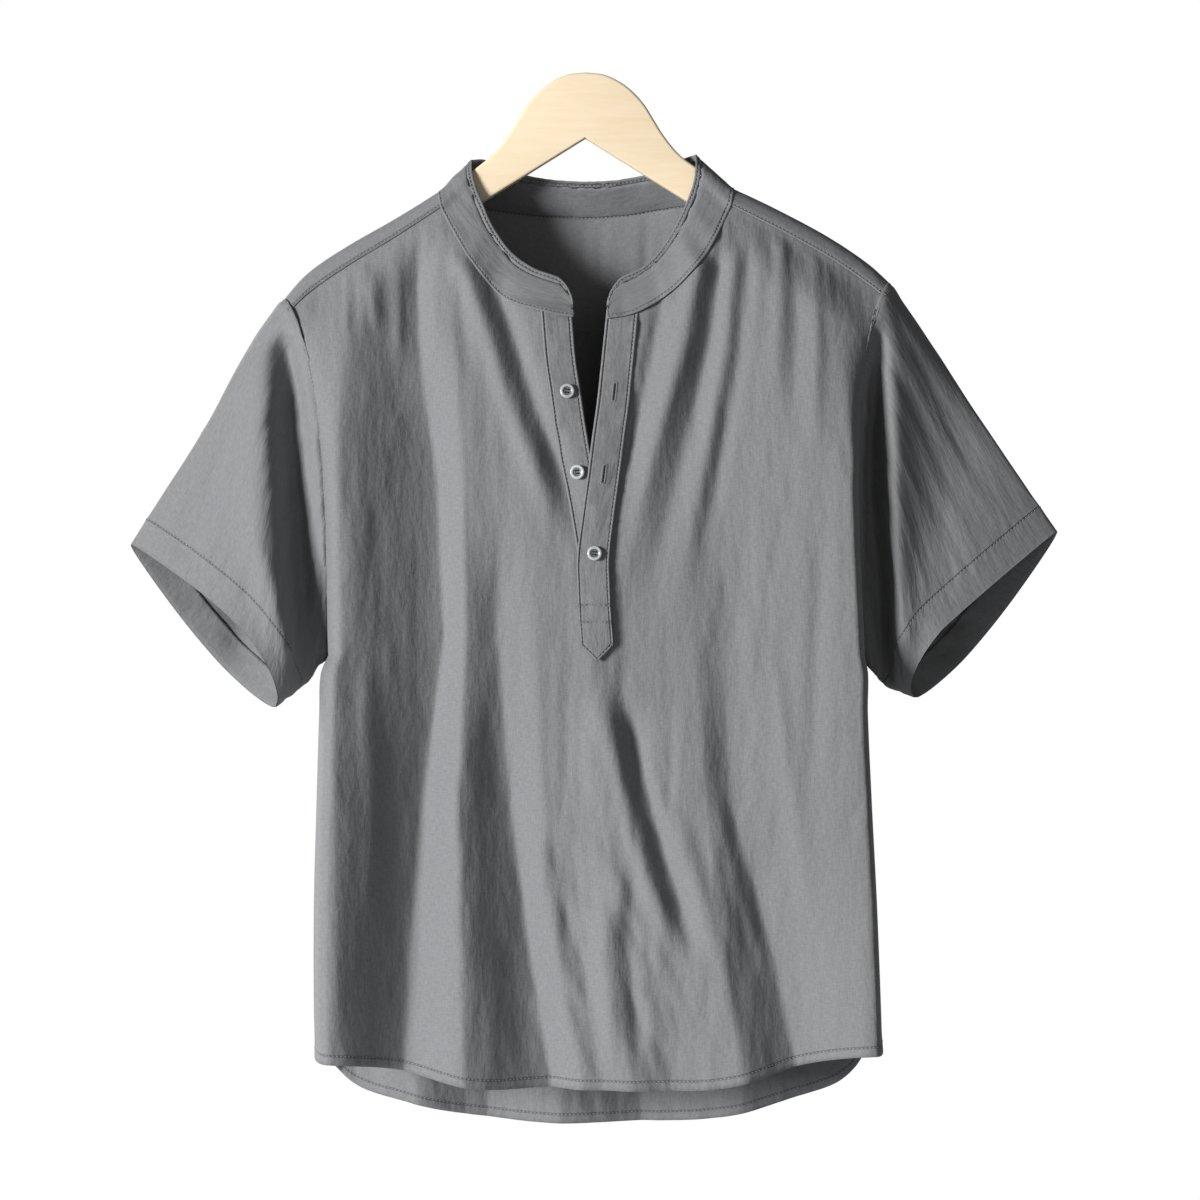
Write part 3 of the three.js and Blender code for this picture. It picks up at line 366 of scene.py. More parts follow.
SLEEVE_FOLDS = {
    (Side.LEFT, Face.FRONT): (
        Crease(((-249.6, 208), (-262, 264), (-275, 382), (-253, 463)), 14, 6, 0),
        Crease(((-240, 224), (-233, 343), (-224, 489)), 15, -28, 0),
        Crease(((-286, 271), (-305, 335), (-329, 386)), 9, -5, 0),
    ),
    (Side.LEFT, Face.BACK): (
        Crease(((-240, 240), (-236, 350), (-230, 480)), 15, -12, 0),
        Crease(((-262, 220), (-278, 330), (-268, 450)), 16, 5, 0),
    ),
    (Side.RIGHT, Face.FRONT): (
        Crease(((233, 190), (246, 303), (252, 390), (262, 457)), 11, 5, 0),
        Crease(((221, 215), (226, 343), (233, 421), (236, 485)), 13, -30, 0),
        Crease(((258, 225), (284, 325), (294, 440)), 18, -3, 0.2),
    ),
    (Side.RIGHT, Face.BACK): (
        Crease(((238, 240), (240, 350), (240, 480)), 15, -12, 0),
        Crease(((264, 220), (284, 330), (276, 450)), 16, 5, 0),
    ),
}


@dataclass(frozen=True)
class ShirtForm:
    """The form that every piece of the shirt shares: shoulders, sides, swell and folds."""

    half_seam: float = 0.1
    yoke_seam_below: float = 19
    back_yoke_drop: float = 205
    front_corner: float = 0.034
    neck_out: float = 117
    hem_front: float = 806
    hem_back: float = 847.3
    hem_centre: float = 8
    slit_x: float = 4
    slit_drop: float = 388
    fold_fade: float = 48
    fold_softness: float = 0.45
    half_width: float = 215
    side_round: float = 13
    armhole_round: float = 26
    armhole_power: float = 0.7
    armhole_middle: float = 0.36
    armhole_blend: Pair = (0.5, 0.92)
    edge_round: float = 2.2
    bulge: float = 0.58
    flat_peak: float = 0.7
    flat_power: float = 1.12
    flat_cut: float = 0.22
    lean: float = 8
    bow_peak: float = 0.63
    bow_reach: float = 0.55
    fold_start: float = 0.07
    crumple_at: Pair = (20, 700)
    crumple_size: Pair = (75, 120)
    crumple_lean: float = 0.35
    crinkle_bend: float = 5
    gather_height: float = 2.1
    gather_reach: float = 60
    starts_below: Pair = (12, 14)

    SHOULDER = Profile([108, 117, 155, 192, 222, 244], left=[89.2, 94.6, 117.8, 139, 159.2, 181.2],
                       right=[89.2, 93.4, 111.8, 131.8, 151.8, 170.6])
    SIDE_SEAM = Profile([465.6, 480, 510, 581.6, 661.6, 741.6, 785.6],
                        left=[206.4, 212.4, 213.6, 215.6, 217.6, 217.6, 216.4],
                        right=[219.2, 222, 221.8, 224.8, 228.8, 231.8, 233.4])
    SLEEVE_EDGES = {
        Side.LEFT: Profile([0, 0.18, 0.55, 1], top_out=[245.6, 268.6, 309.6, 365.6],
                           top_drop=[183.6, 216.8, 288, 377.6],
                           under_out=[206.4, 213, 227.2, 249.6],
                           under_drop=[465.6, 472, 488.8, 507]),
        Side.RIGHT: Profile([0, 0.18, 0.55, 1], top_out=[243.4, 268.6, 314.2, 375.2],
                            top_drop=[171.2, 208, 278.4, 367.2],
                            under_out=[219.2, 225.6, 237.6, 260.8],
                            under_drop=[465.6, 476, 488.8, 499.2]),
    }
    SLEEVE_SECTIONS = Profile([0, 0.18, 0.55, 1], front=[33, 38, 44, 42], back=[30, 28, 24, 21],
                              front_hang=[0.6, 0.9, 1.3, 1.6], back_hang=[0.6, 0.9, 1.2, 1.4],
                              slant=[0, 0.1, 0.3, 0.55])
    BOW = {Side.LEFT: 19.4, Side.RIGHT: 20}
    SIDE_ROUND = {Side.LEFT: 16.0, Side.RIGHT: 8.0}
    FLAT = {(Side.RIGHT, Face.FRONT): 1.0}
    HEM_SIDE = {Side.LEFT: 783.0, Side.RIGHT: 777.0}
    NECKLINE = {
        Side.LEFT: ((-116.4, 108.9), (-105.6, 129.5), (-90.1, 155.2), (-64.1, 183.2),
                    (-36.7, 193.6), (-24.4, 196.6)),
        Side.RIGHT: ((112.6, 107.2), (95.6, 142.6), (78.1, 165.8), (57.5, 183.2), (38.7, 193.6),
                     (26.9, 197.4)),
    }
    BACK_NECKLINE = ((-118.4, 0, 95), (-106, 20, 100), (-65.7, 38, 107.9), (-23.6, 41, 111.4),
                     (21.9, 41, 111), (57.3, 38, 106.2), (104, 20, 98), (115.2, 0, 92.8))
    SWELL = {Face.FRONT: (14, 34, 85, 10), Face.BACK: (14, 28, 60, 8)}
    HEM_SWELL = (450, 800)
    CRINKLES = (((0.2, 1.0), (13, 60)), ((0.12, 0.75), (6.5, 26)))  # least and most height, cell
    CRUMPLES = ((2.0, (11, 34)), (1.0, (6, 14)))  # height, cell

    def ridge_drop(self, x: Array) -> Array:
        """Drop of the shoulder's ridge at a place across."""
        low, high = self.SHOULDER.key[0], self.SHOULDER.key[-1]
        out = np.clip(np.abs(x), low, high)
        left, right = (self.SHOULDER.read(name, out) for name in ("left", "right"))
        return np.where(np.asarray(x) < 0, left, right)

    def seam_drop(self, x: Array) -> Array:
        """Drop of the front yoke seam at a place across."""
        return self.ridge_drop(x) + self.yoke_seam_below

    def sleeve_point(self, side: Side, face: Face, round_: Array, along: Array) -> Array:
        """Points of a sleeve.

        Args:
            side: which sleeve.
            face: its front or back.
            round_: place from the top edge (0) to the under edge (1).
            along: place from the armhole (0) to the hem (1).

        Returns:
            The points.
        """
        round_, along = paired(round_, along)
        edges, name = self.SLEEVE_EDGES[side], face.name.lower()
        top, under = (np.stack([side.sign * edges.read(f"{edge}_out", along),
                                -edges.read(f"{edge}_drop", along)], -1)
                      for edge in ("top", "under"))
        hang = self.SLEEVE_SECTIONS.read(f"{name}_hang", along)
        depth = self.SLEEVE_SECTIONS.read(name, along)
        flat = self.FLAT.get((side, face), 0.0) * ease(along, 0.1, 0.6)
        depth = (depth + self.lean * flat * (along - 0.3)) * (1 - self.flat_cut * flat)
        fold = np.sin(np.pi * np.clip(round_, 0, 1) ** hang)
        rim = 1 - (1 - 2 * np.sqrt(np.maximum(round_ * (1 - round_), 0))) ** 4
        rising = 1 - np.clip(1 - round_ / self.flat_peak, 0, 1) ** self.flat_power
        closing = np.clip((round_ - self.flat_peak) / (1 - self.flat_peak), 0, 1)
        full = mix(np.maximum(fold, 0) ** self.bulge, rising * np.sqrt(1 - closing ** 2), flat)
        bow = self.BOW[side] * np.maximum(0, 1 - along / self.bow_reach) ** 2
        place = mix(top, under, round_[..., None])
        place[..., 0] -= side.sign * bow * np.sin(np.pi * np.clip(round_, 0, 1) ** self.bow_peak)
        down = under - top
        outward = unit(np.stack([-down[..., 1], down[..., 0]], -1))
        outward *= np.sign(outward[..., :1] * side.sign)
        x, drop = place[..., 0], -place[..., 1]
        folds = creased(SLEEVE_FOLDS[side, face], x, drop)
        folded = (depth + folds * ease(along, 0, self.fold_start)) * full
        y = face.value * (self.edge_round * rim + folded)
        place = place + outward * (self.SLEEVE_SECTIONS.read("slant", along) * y)[..., None]
        return np.stack([place[..., 0], y, place[..., 1]], -1)

    def armhole_point(self, side: Side, face: Face, round_: Array) -> Array:
        """Points of the armhole, from the shoulder (0) to the armpit (1)."""
        return self.sleeve_point(side, face, round_, 0.0)

    def armhole_share(self, side: Side, drop: float) -> float:
        """Place along the armhole that lies at a drop."""
        edges = self.SLEEVE_EDGES[side].columns
        return (drop - edges["top_drop"][0]) / (edges["under_drop"][0] - edges["top_drop"][0])

    def fold_depth(self, folds: tuple[Fold, ...], x: Array, drop: Array) -> Array:
        """How far the long folds stand out, with even slopes from each to the next.

        Args:
            folds: the folds, from left to right.
            x: places across.
            drop: distances below the origin.

        Returns:
            The heights.
        """
        x, drop = paired(x, drop)
        drops = np.array(FOLD_DROPS, float)
        level = np.searchsorted(drops[1:-1], drop, side="left")
        t = np.clip((drop - drops[level]) / (drops[level + 1] - drops[level]), 0, 1)
        places, heights = (np.array([getattr(f, n) for f in folds], float) for n in ("x", "out"))
        lines = mix(places[:, level], places[:, level + 1], t)
        outs = mix(heights[:, level], heights[:, level + 1], ease(t, 0, 1))
        after = np.clip((lines <= x).sum(axis=0), 1, len(folds) - 1)[None]
        near, far = (np.take_along_axis(lines, after + i, 0)[0] for i in (-1, 0))
        across = np.clip((x - near) / (far - near), 0, 1)
        across = mix(across, across * across * (3 - 2 * across), self.fold_softness)
        return mix(*(np.take_along_axis(outs, after + i, 0)[0] for i in (-1, 0)), across)

    def face_depth(self, face: Face, x: Array, drop: Array) -> Array:
        """Depth of the front or back, away from its sides.

        Args:
            face: the front or the back.
            x: places across.
            drop: distances below the origin.

        Returns:
            The places along Y.
        """
        x, drop = paired(x, drop)
        seam, chest, over, hem = self.SWELL[face]
        beside = np.where(x < 0, np.minimum(x, -self.neck_out), np.maximum(x, self.neck_out))
        below = np.maximum(drop - self.seam_drop(beside), 0)
        swell = seam + chest * (1 - np.exp(-below / over)) + hem * ease(drop, *self.HEM_SWELL)
        long_folds, creases = FACE_FOLDS[face]
        folds = self.fold_depth(long_folds, x, drop)
        if face is Face.FRONT:
            folds = folds + creased(DRAG_LINES, x, drop)
        fine = creased(creases, x, drop) * ease(below, 0, self.starts_below[0])
        fine = fine + self.crinkle(face, x, drop, below)
        return face.value * (swell + folds * ease(below, 0, self.fold_fade) + fine)

    def crinkle(self, face: Face, x: Array, drop: Array, below: Array) -> Array:
        """Small upright creases all over, and gathers that start at the yoke seam.

        Args:
            face: the front or the back.
            x: places across.
            drop: distances below the origin.
            below: distances below the yoke seam.

        Returns:
            The heights.
        """
        seed = 11 if face is Face.FRONT else 47
        bend = self.crinkle_bend * rumple(x, drop, (70, 90), seed + 5)
        calm = 0.5 + 0.5 * rumple(x, drop, (60, 110), seed + 3)
        layers = [(mix(*heights, calm), cell) for heights, cell in self.CRINKLES]
        soft = rumples(layers, x + bend, drop, seed)
        gather = self.gather_height * rumple(x, drop, (9, 130), seed + 2)
        gather = gather * np.exp(-below / self.gather_reach)
        near = np.exp(-(((x - self.crumple_at[0]) / self.crumple_size[0]) ** 2)
                      - ((drop - self.crumple_at[1]) / self.crumple_size[1]) ** 2)
        lean = x - self.crumple_lean * (drop - self.crumple_at[1])
        crumple = near * rumples(self.CRUMPLES, lean, drop, seed + 6)
        return (soft + gather + crumple) * ease(below, 0, self.starts_below[1])

    def on_face(self, face: Face, x: Array, drop: Array, edge: Array, beside: Array) -> Array:
        """Points on the body's face, rounded off towards the outer edge beside them.

        Args:
            face: the front or the back.
            x: places across.
            drop: distances below the origin.
            edge: the outer edge's points beside them.
            beside: 1 beside the armhole, and 0 below it.

        Returns:
            The points.
        """
        side = np.where(edge[..., 0] < 0, self.SIDE_ROUND[Side.LEFT], self.SIDE_ROUND[Side.RIGHT])
        reach = mix(side, self.armhole_round, beside)
        inside = np.clip(np.abs(x - edge[..., 0]) / reach, 0, 1)
        round_ = (1 - (1 - inside) ** 2) ** mix(0.5, self.armhole_power, beside)
        return place_at(x, mix(edge[..., 1], self.face_depth(face, x, drop), round_), drop)

    def neckline(self, side: Side) -> SmoothLine:
        """The neckline of one front, from the placket up to the shoulder."""
        points = [(x, 0.0, -drop) for x, drop in reversed(self.NECKLINE[side])]
        return SmoothLine(np.array(points))

    def back_neckline(self, count: int) -> Array:
        """Points of the neckline across the back, from left to right."""
        points = [(x, y, -drop) for x, y, drop in self.BACK_NECKLINE]
        return SmoothLine(np.array(points)).at(np.linspace(0, 1, count))

    def yoke_seam(self, side: Side, place: Array) -> Array:
        """Points of the front yoke seam, from the armhole (0) to the collar (1)."""
        edge = self.armhole_point(side, Face.FRONT, self.front_corner)
        neck_x, neck_drop = self.NECKLINE[side][0]
        x = mix(edge[0], neck_x, place)
        straight = mix(self.seam_drop(edge[0]), self.seam_drop(neck_x), place)
        drop = mix(-edge[2], neck_drop, place) + self.seam_drop(x) - straight
        return self.on_face(Face.FRONT, x, drop, edge, 1.0)

    def back_seam(self, x: Array) -> Array:
        """Points of the back yoke seam at places across."""
        drop = self.back_yoke_drop
        return place_at(x, self.face_depth(Face.BACK, x, drop), drop - self.half_seam)


# Drapes below the placket, gathers under the yoke, and creases at the sides
FRONT_CREASES = (
    Crease(((10, 485), (24, 560), (44, 630), (70, 710)), 10, 7.5, 0.2),
    Crease(((26, 490), (42, 560), (62, 630), (90, 715)), 9, -7.5, 0.2),
    Crease(((40, 520), (58, 590), (82, 660)), 5, 2.5, 0.3),
    Crease(((-38, 596), (-37, 650), (-28, 705)), 7, 3.4, 0.3),
    Crease(((-24, 600), (-21, 650), (-11, 705)), 7, -3.6, 0.3),
    Crease(((14, 640), (12, 710), (22, 790)), 8, 4.6, 0.3),
    Crease(((30, 650), (32, 720), (46, 800)), 8, -5, 0.3),
    Crease(((96, 560), (116, 640), (140, 720)), 6, 2.4, 0.3),
    Crease(((60, 560), (84, 640), (104, 730)), 7, 3, 0.35),
    Crease(((-14, 560), (-22, 640), (-24, 730)), 6, 2.6, 0.35),
    Crease(((-172, 150), (-170, 175), (-166, 215)), 6, 3, 0.4),
    Crease(((-186, 150), (-185, 180), (-184, 220)), 5, -2, 0.4),
    Crease(((-150, 140), (-150, 190), (-148, 250)), 5, 2.4, 0.4),
    Crease(((-136, 130), (-134, 180), (-130, 250)), 5, -2.6, 0.4),
    Crease(((-120, 122), (-122, 180), (-122, 240)), 5, 2.4, 0.4),
    Crease(((150, 140), (150, 200), (146, 280)), 6, 2.2, 0.4),
    Crease(((162, 142), (164, 210), (160, 300)), 6, -2.2, 0.4),
    Crease(((178, 150), (180, 220), (176, 320)), 6, 2.2, 0.4),
    Crease(((186, 330), (178, 460), (176, 600)), 7, -2.0, 0.35),
    Crease(((140, 430), (158, 560), (180, 700)), 8, 2.2, 0.35),
    Crease(((-176, 420), (-170, 560), (-172, 700)), 7, 1.8, 0.35),
)
BACK_CREASES = (
    Crease(((-90, 215), (-84, 330), (-92, 470)), 8, 2.6, 0.3),
    Crease(((-30, 215), (-26, 340), (-40, 520)), 8, -2.4, 0.3),
    Crease(((24, 215), (22, 330), (14, 500)), 8, 2.4, 0.3),
    Crease(((84, 215), (90, 360), (88, 520)), 8, -2.6, 0.3),
    Crease(((-150, 420), (-146, 560), (-156, 720)), 9, 2.4, 0.3),
    Crease(((140, 430), (150, 600), (150, 760)), 9, -2.4, 0.3),
)
FACE_FOLDS = {Face.FRONT: (FRONT_FOLDS, FRONT_CREASES), Face.BACK: (BACK_FOLDS, BACK_CREASES)}


# ---- grids and meshes


def grid_normals(points: Array) -> Array:
    """Unit normals of a grid of points."""
    return unit(np.cross(np.gradient(points, axis=0), np.gradient(points, axis=1)))


@dataclass
class Seam:
    """A line of topstitching along an edge of a grid, from a share of it (first) to its end."""

    edge: Edge
    inset: float
    first: float = 0.0
    both_sides: bool = False


@dataclass
class Grid:
    """A patch of cloth as rows and columns of points, with its place on the flat cut."""

    points: Array
    outside: Array
    cut: Array | None = None
    seams: list[Seam] = field(default_factory=list)
    bars: tuple[float, ...] = ()
    across_grain: bool = False
    measured: dict[Edge, Array] = field(default_factory=dict)

    def __post_init__(self) -> None:
        """Turns the normals outwards and lays out the flat cut."""
        self.normals = grid_normals(self.points)
        if self.cut is None:
            u, v = lengths_along(self.points, 1), lengths_along(self.points, 0)
            middle = slice(u.shape[1] // 2, u.shape[1] // 2 + 1)
            u, v = u - u[:, middle], np.broadcast_to(v[:, middle], v.shape)
            self.cut = np.stack([v, u] if self.across_grain else [u, v], axis=-1)
        away = self.points - self.outside
        self.normals *= np.where((self.normals * away).sum() < 0, -1, 1)

    def distance(self, edge: Edge) -> Array:
        """Distance of each point from one edge, measured along the cloth before it is piped."""
        if edge in self.measured:
            return self.measured[edge]
        run = lengths_along(self.points, edge.axis)
        return np.take(run, [-1], axis=edge.axis) - run if edge.is_last else run

    def raise_by(self, height: Array) -> None:
        """Moves each point out along its normal."""
        self.points = self.points + self.normals * height[..., None]

    def seam_weight(self, seam: Seam) -> Array:
        """1 along a seam's own stretch of its edge, and 0 away from it."""
        shape, axis = self.points.shape[:2], seam.edge.axis
        part = np.expand_dims(np.linspace(0, 1, shape[1 - axis]), axis)
        return np.broadcast_to(part >= seam.first - TINY, shape).astype(float)

    def stitch_distance(self) -> Array:
        """Distance of each point from its nearest stitches, below 0 between them and an edge."""
        far, beyond, beside_bar = 60.0, 200, 1.6
        nearest = np.full(self.points.shape[:2], far)
        for seam in self.seams:
            gap = self.distance(seam.edge) - seam.inset + beyond * (1 - self.seam_weight(seam))
            nearest = np.where(np.abs(gap) < np.abs(nearest), gap, nearest)
        for bar in self.bars:
            gap = np.abs(-self.points[..., 2] - bar)
            nearest = np.where(gap < np.minimum(np.abs(nearest), beside_bar), gap, nearest)
        return nearest

    def pucker(self, height: float, wave: float, reach: float, seed: int) -> None:
        """Draws the cloth up into short waves beside its stitches.

        Args:
            height: height of the waves.
            wave: width of one.
            reach: how far from the stitches they go.
            seed: picks another pattern.
        """
        for number, seam in enumerate(self.seams):
            run = lengths_along(self.points, 1 - seam.edge.axis)
            gap = np.abs(self.distance(seam.edge) - seam.inset)
            weight = np.exp(-((gap / reach) ** 2)) * self.seam_weight(seam)
            waves = rumple(run, self.distance(seam.edge), (wave / 2, 4 * reach), seed + 7 * number)
            self.raise_by(height * weight * waves)

    def pipe(self, edges: tuple[Edge, ...], roll: float = 0.9, size: float = 1.0) -> None:
        """Rolls a border over the seam behind it, and sinks the line of stitches beside it.

        Args:
            edges: the edges that it follows.
            roll: how far the very edge turns down.
            size: scale of the bead's height.
        """
        self.measured = {edge: self.distance(edge) for edge in Edge}
        gap = np.min([self.measured[edge] for edge in edges], axis=0)
        self.raise_by(size * np.interp(gap, (0, 0.35, 0.8, 1.3, 2.0, 2.8, 5.0),
                                       (-roll, 0, 0.6, 0.55, -0.5, 0.05, 0)))

    def tuck(self, edge: Edge, reach: float, sink: float) -> None:
        """Carries an edge on under its neighbour, which hides it.

        Args:
            edge: the first or the last row.
            reach: how far it goes on.
            sink: how far it lies below the neighbour.
        """
        step = -1 if edge.is_last else 1
        parts = (1.0, 0.45, 0.12)
        points, normals, cut = (v[::step] for v in (self.points, self.normals, self.cut))
        way = unit(points[0] - points[2])
        extra = [points[0] + way * reach * part - normals[0] * sink * min(1.0, 1.6 * part)
                 for part in parts]
        flat = [cut[0] + (cut[0] - cut[1]) * part for part in parts]
        self.points = np.concatenate([extra, points])[::step]
        self.cut = np.concatenate([flat, cut])[::step]
        self.normals = np.concatenate([np.repeat(normals[:1], len(parts), axis=0), normals])[::step]
        for seam in self.seams:
            if seam.edge is edge:
                seam.inset += reach

    def stitch_lines(self, lift: float) -> Lines:
        """The lines of topstitching.

        Args:
            lift: how far the thread lies above the middle of the cloth.

        Returns:
            The points and normals of each line.
        """
        lines = []
        for seam in self.seams:
            gap, points, normals = self.distance(seam.edge), self.points, self.normals
            if seam.edge.axis == 0:
                gap, points, normals = gap.T, points.swapaxes(0, 1), normals.swapaxes(0, 1)
            if seam.edge.is_last:
                gap, points, normals = gap[:, ::-1], points[:, ::-1], normals[:, ::-1]
            keep = np.linspace(0, 1, len(gap)) >= seam.first
            path, up = (read_lines(seam.inset, gap[keep], v[keep]) for v in (points, normals))
            lines.append((path + up * lift, up))
            if seam.both_sides:
                lines.append((path - up * lift, -up))
        for bar in self.bars:
            drops, inner = -self.points[..., 2].T, slice(4, -4)
            path, up = (read_lines(bar, drops, v.swapaxes(0, 1))[inner]
                        for v in (self.points, self.normals))
            lines.append((path + up * lift, up))
        return lines


def cloth_object(name: str, grids: list[Grid], thickness: float) -> Object:
    """Makes one piece of cloth from its patches, as a closed wall.

    Args:
        name: the piece's name.
        grids: its patches; points that meet are welded.
        thickness: of the wall.

    Returns:
        The piece, a plain mesh with its flat cut as a UV map.
    """
    points, cuts, gaps, faces, count = [], [], [], [], 0
    for grid in grids:
        rows, columns = grid.points.shape[:2]
        ids = np.arange(rows * columns).reshape(rows, columns) + count
        quads = np.stack([ids[:-1, :-1], ids[:-1, 1:], ids[1:, 1:], ids[1:, :-1]], axis=-1)
        a, b, d = (grid.points[:-1, :-1], grid.points[:-1, 1:], grid.points[1:, :-1])
        if (np.cross(b - a, d - a) * grid.normals[:-1, :-1]).sum() < 0:
            quads = quads[..., ::-1]
        faces.append(quads.reshape(-1, 4))
        points.append(grid.points.reshape(-1, 3))
        cuts.append(grid.cut.reshape(-1, 2))
        gaps.append(grid.stitch_distance().reshape(-1))
        count += rows * columns
    points, cuts, gaps, faces = (np.concatenate(v) for v in (points, cuts, gaps, faces))
    _, first, weld = np.unique(np.round(points * WELD).astype(np.int64), axis=0,
                               return_index=True, return_inverse=True)
    mesh = bpy.data.meshes.new(name)
    welded = weld.reshape(-1)[faces]
    rings = [[i for k, i in enumerate(ring) if i != ring[k - 1]] for ring in welded.tolist()]
    kept = [k for k, ring in enumerate(rings) if 3 <= len(ring) == len(set(ring))]
    mesh.from_pydata((points[first] * MM).tolist(), [], [rings[k] for k in kept])
    corners = np.concatenate([[c for n, c in enumerate(faces[k].tolist())
                               if welded[k][n] != welded[k][n - 1]] for k in kept]).astype(int)
    uv = mesh.uv_layers.new(name="cut")
    uv.data.foreach_set("uv", (cuts[corners] * MM).astype(np.float32).reshape(-1))
    stitch = mesh.attributes.new("stitch_mm", "FLOAT", "POINT")
    stitch.data.foreach_set("value", gaps[first].astype(np.float32))
    mesh.shade_smooth()
    piece = put(mesh)
    wall = piece.modifiers.new("wall", "SOLIDIFY")
    wall.thickness = thickness * MM
    wall.offset = 0
    return plain(piece)


def put(data: bpy.types.ID) -> Object:
    """Links a new object that has some data, such as a mesh or a light, and its name."""
    piece = bpy.data.objects.new(data.name, data)
    bpy.context.collection.objects.link(piece)
    return piece


def finished(name: str, edit: bmesh.types.BMesh) -> Mesh:
    """Makes a mesh from the one being edited, which it frees."""
    mesh = bpy.data.meshes.new(name)
    edit.to_mesh(mesh)
    edit.free()
    return mesh


def drill(piece: Object, radius: float, depth: float, segments: int,
          places: list[Pair]) -> None:
    """Drills round holes along Z.

    Args:
        piece: the object to drill, which is left with a plain mesh.
        radius: of each hole.
        depth: how long the drill is, with its middle at Z 0.
        segments: sides of the drill.
        places: X and Y of each hole.
    """
    tools = []
    for x, y in places:
        edit = bmesh.new()
        bmesh.ops.create_cone(edit, cap_ends=True, segments=segments, radius1=radius,
                              radius2=radius, depth=depth, matrix=Matrix.Translation((x, y, 0)))
        tools.append(put(finished("drill", edit)))
        hole = piece.modifiers.new("hole", "BOOLEAN")
        hole.operation, hole.object, hole.solver = "DIFFERENCE", tools[-1], "EXACT"
    plain(piece)
    for tool in tools:
        bpy.data.objects.remove(tool)


def plain(piece: Object) -> Object:
    """Applies a piece's modifiers, so that only a plain mesh is left."""
    graph = bpy.context.evaluated_depsgraph_get()
    evaluated = piece.evaluated_get(graph)
    mesh = bpy.data.meshes.new_from_object(
        evaluated, preserve_all_data_layers=True, depsgraph=graph)
    mesh.name = piece.name
    piece.modifiers.clear()
    old, piece.data = piece.data, mesh
    bpy.data.meshes.remove(old)
    return piece


# ---- finishes


def linear(hex_colour: str) -> tuple[float, float, float, float]:
    """Linear RGBA of an sRGB hex colour such as "#6b6e70"."""
    values = (int(hex_colour[i:i + 2], 16) / 255 for i in (1, 3, 5))
    red, green, blue = (v / 12.92 if v <= 0.04045 else ((v + 0.055) / 1.055) ** 2.4 for v in values)
    return red, green, blue, 1.0


def add_node(tree: NodeTree, kind: str, settings: dict | None = None,
             inputs: dict | None = None) -> Node:
    """Adds a node with its settings and links.

    Args:
        tree: the node tree.
        kind: the node's type.
        settings: its properties, by name.
        inputs: a value, an output or a node, whose first output it takes, by name or number.

    Returns:
        The node.
    """
    node = tree.nodes.new(kind)
    for name, value in (settings or {}).items():
        setattr(node, name, value)
    for key, value in (inputs or {}).items():
        value = value.outputs[0] if isinstance(value, Node) else value
        if isinstance(value, NodeSocket):
            tree.links.new(value, node.inputs[key])
        else:
            node.inputs[key].default_value = value
    return node


def scaled(tree: NodeTree, colour: str, tone: Node) -> Node:
    """An sRGB hex colour made darker or lighter by a tone around 1."""
    return add_node(tree, "ShaderNodeVectorMath", {"operation": "SCALE"},
                    {0: linear(colour)[:3], "Scale": tone})


@dataclass(frozen=True)
class Finish:
    """What every finish shares: a name, a roughness and an index of refraction."""

    name: str
    roughness: float
    ior: float = 1.5

    def surface(self, tree: NodeTree) -> dict:
        """The shader's inputs that the finish sets, by name, with their nodes in the tree."""
        raise NotImplementedError

    def build(self) -> Material:
        """Makes the material round one Principled shader."""
        material = bpy.data.materials.new(self.name)
        material.use_nodes = True
        tree = material.node_tree
        tree.nodes.clear()
        shader = add_node(tree, "ShaderNodeBsdfPrincipled", inputs={
            "Roughness": self.roughness, "IOR": self.ior, **self.surface(tree)})
        add_node(tree, "ShaderNodeOutputMaterial", inputs={"Surface": shader})
        return material


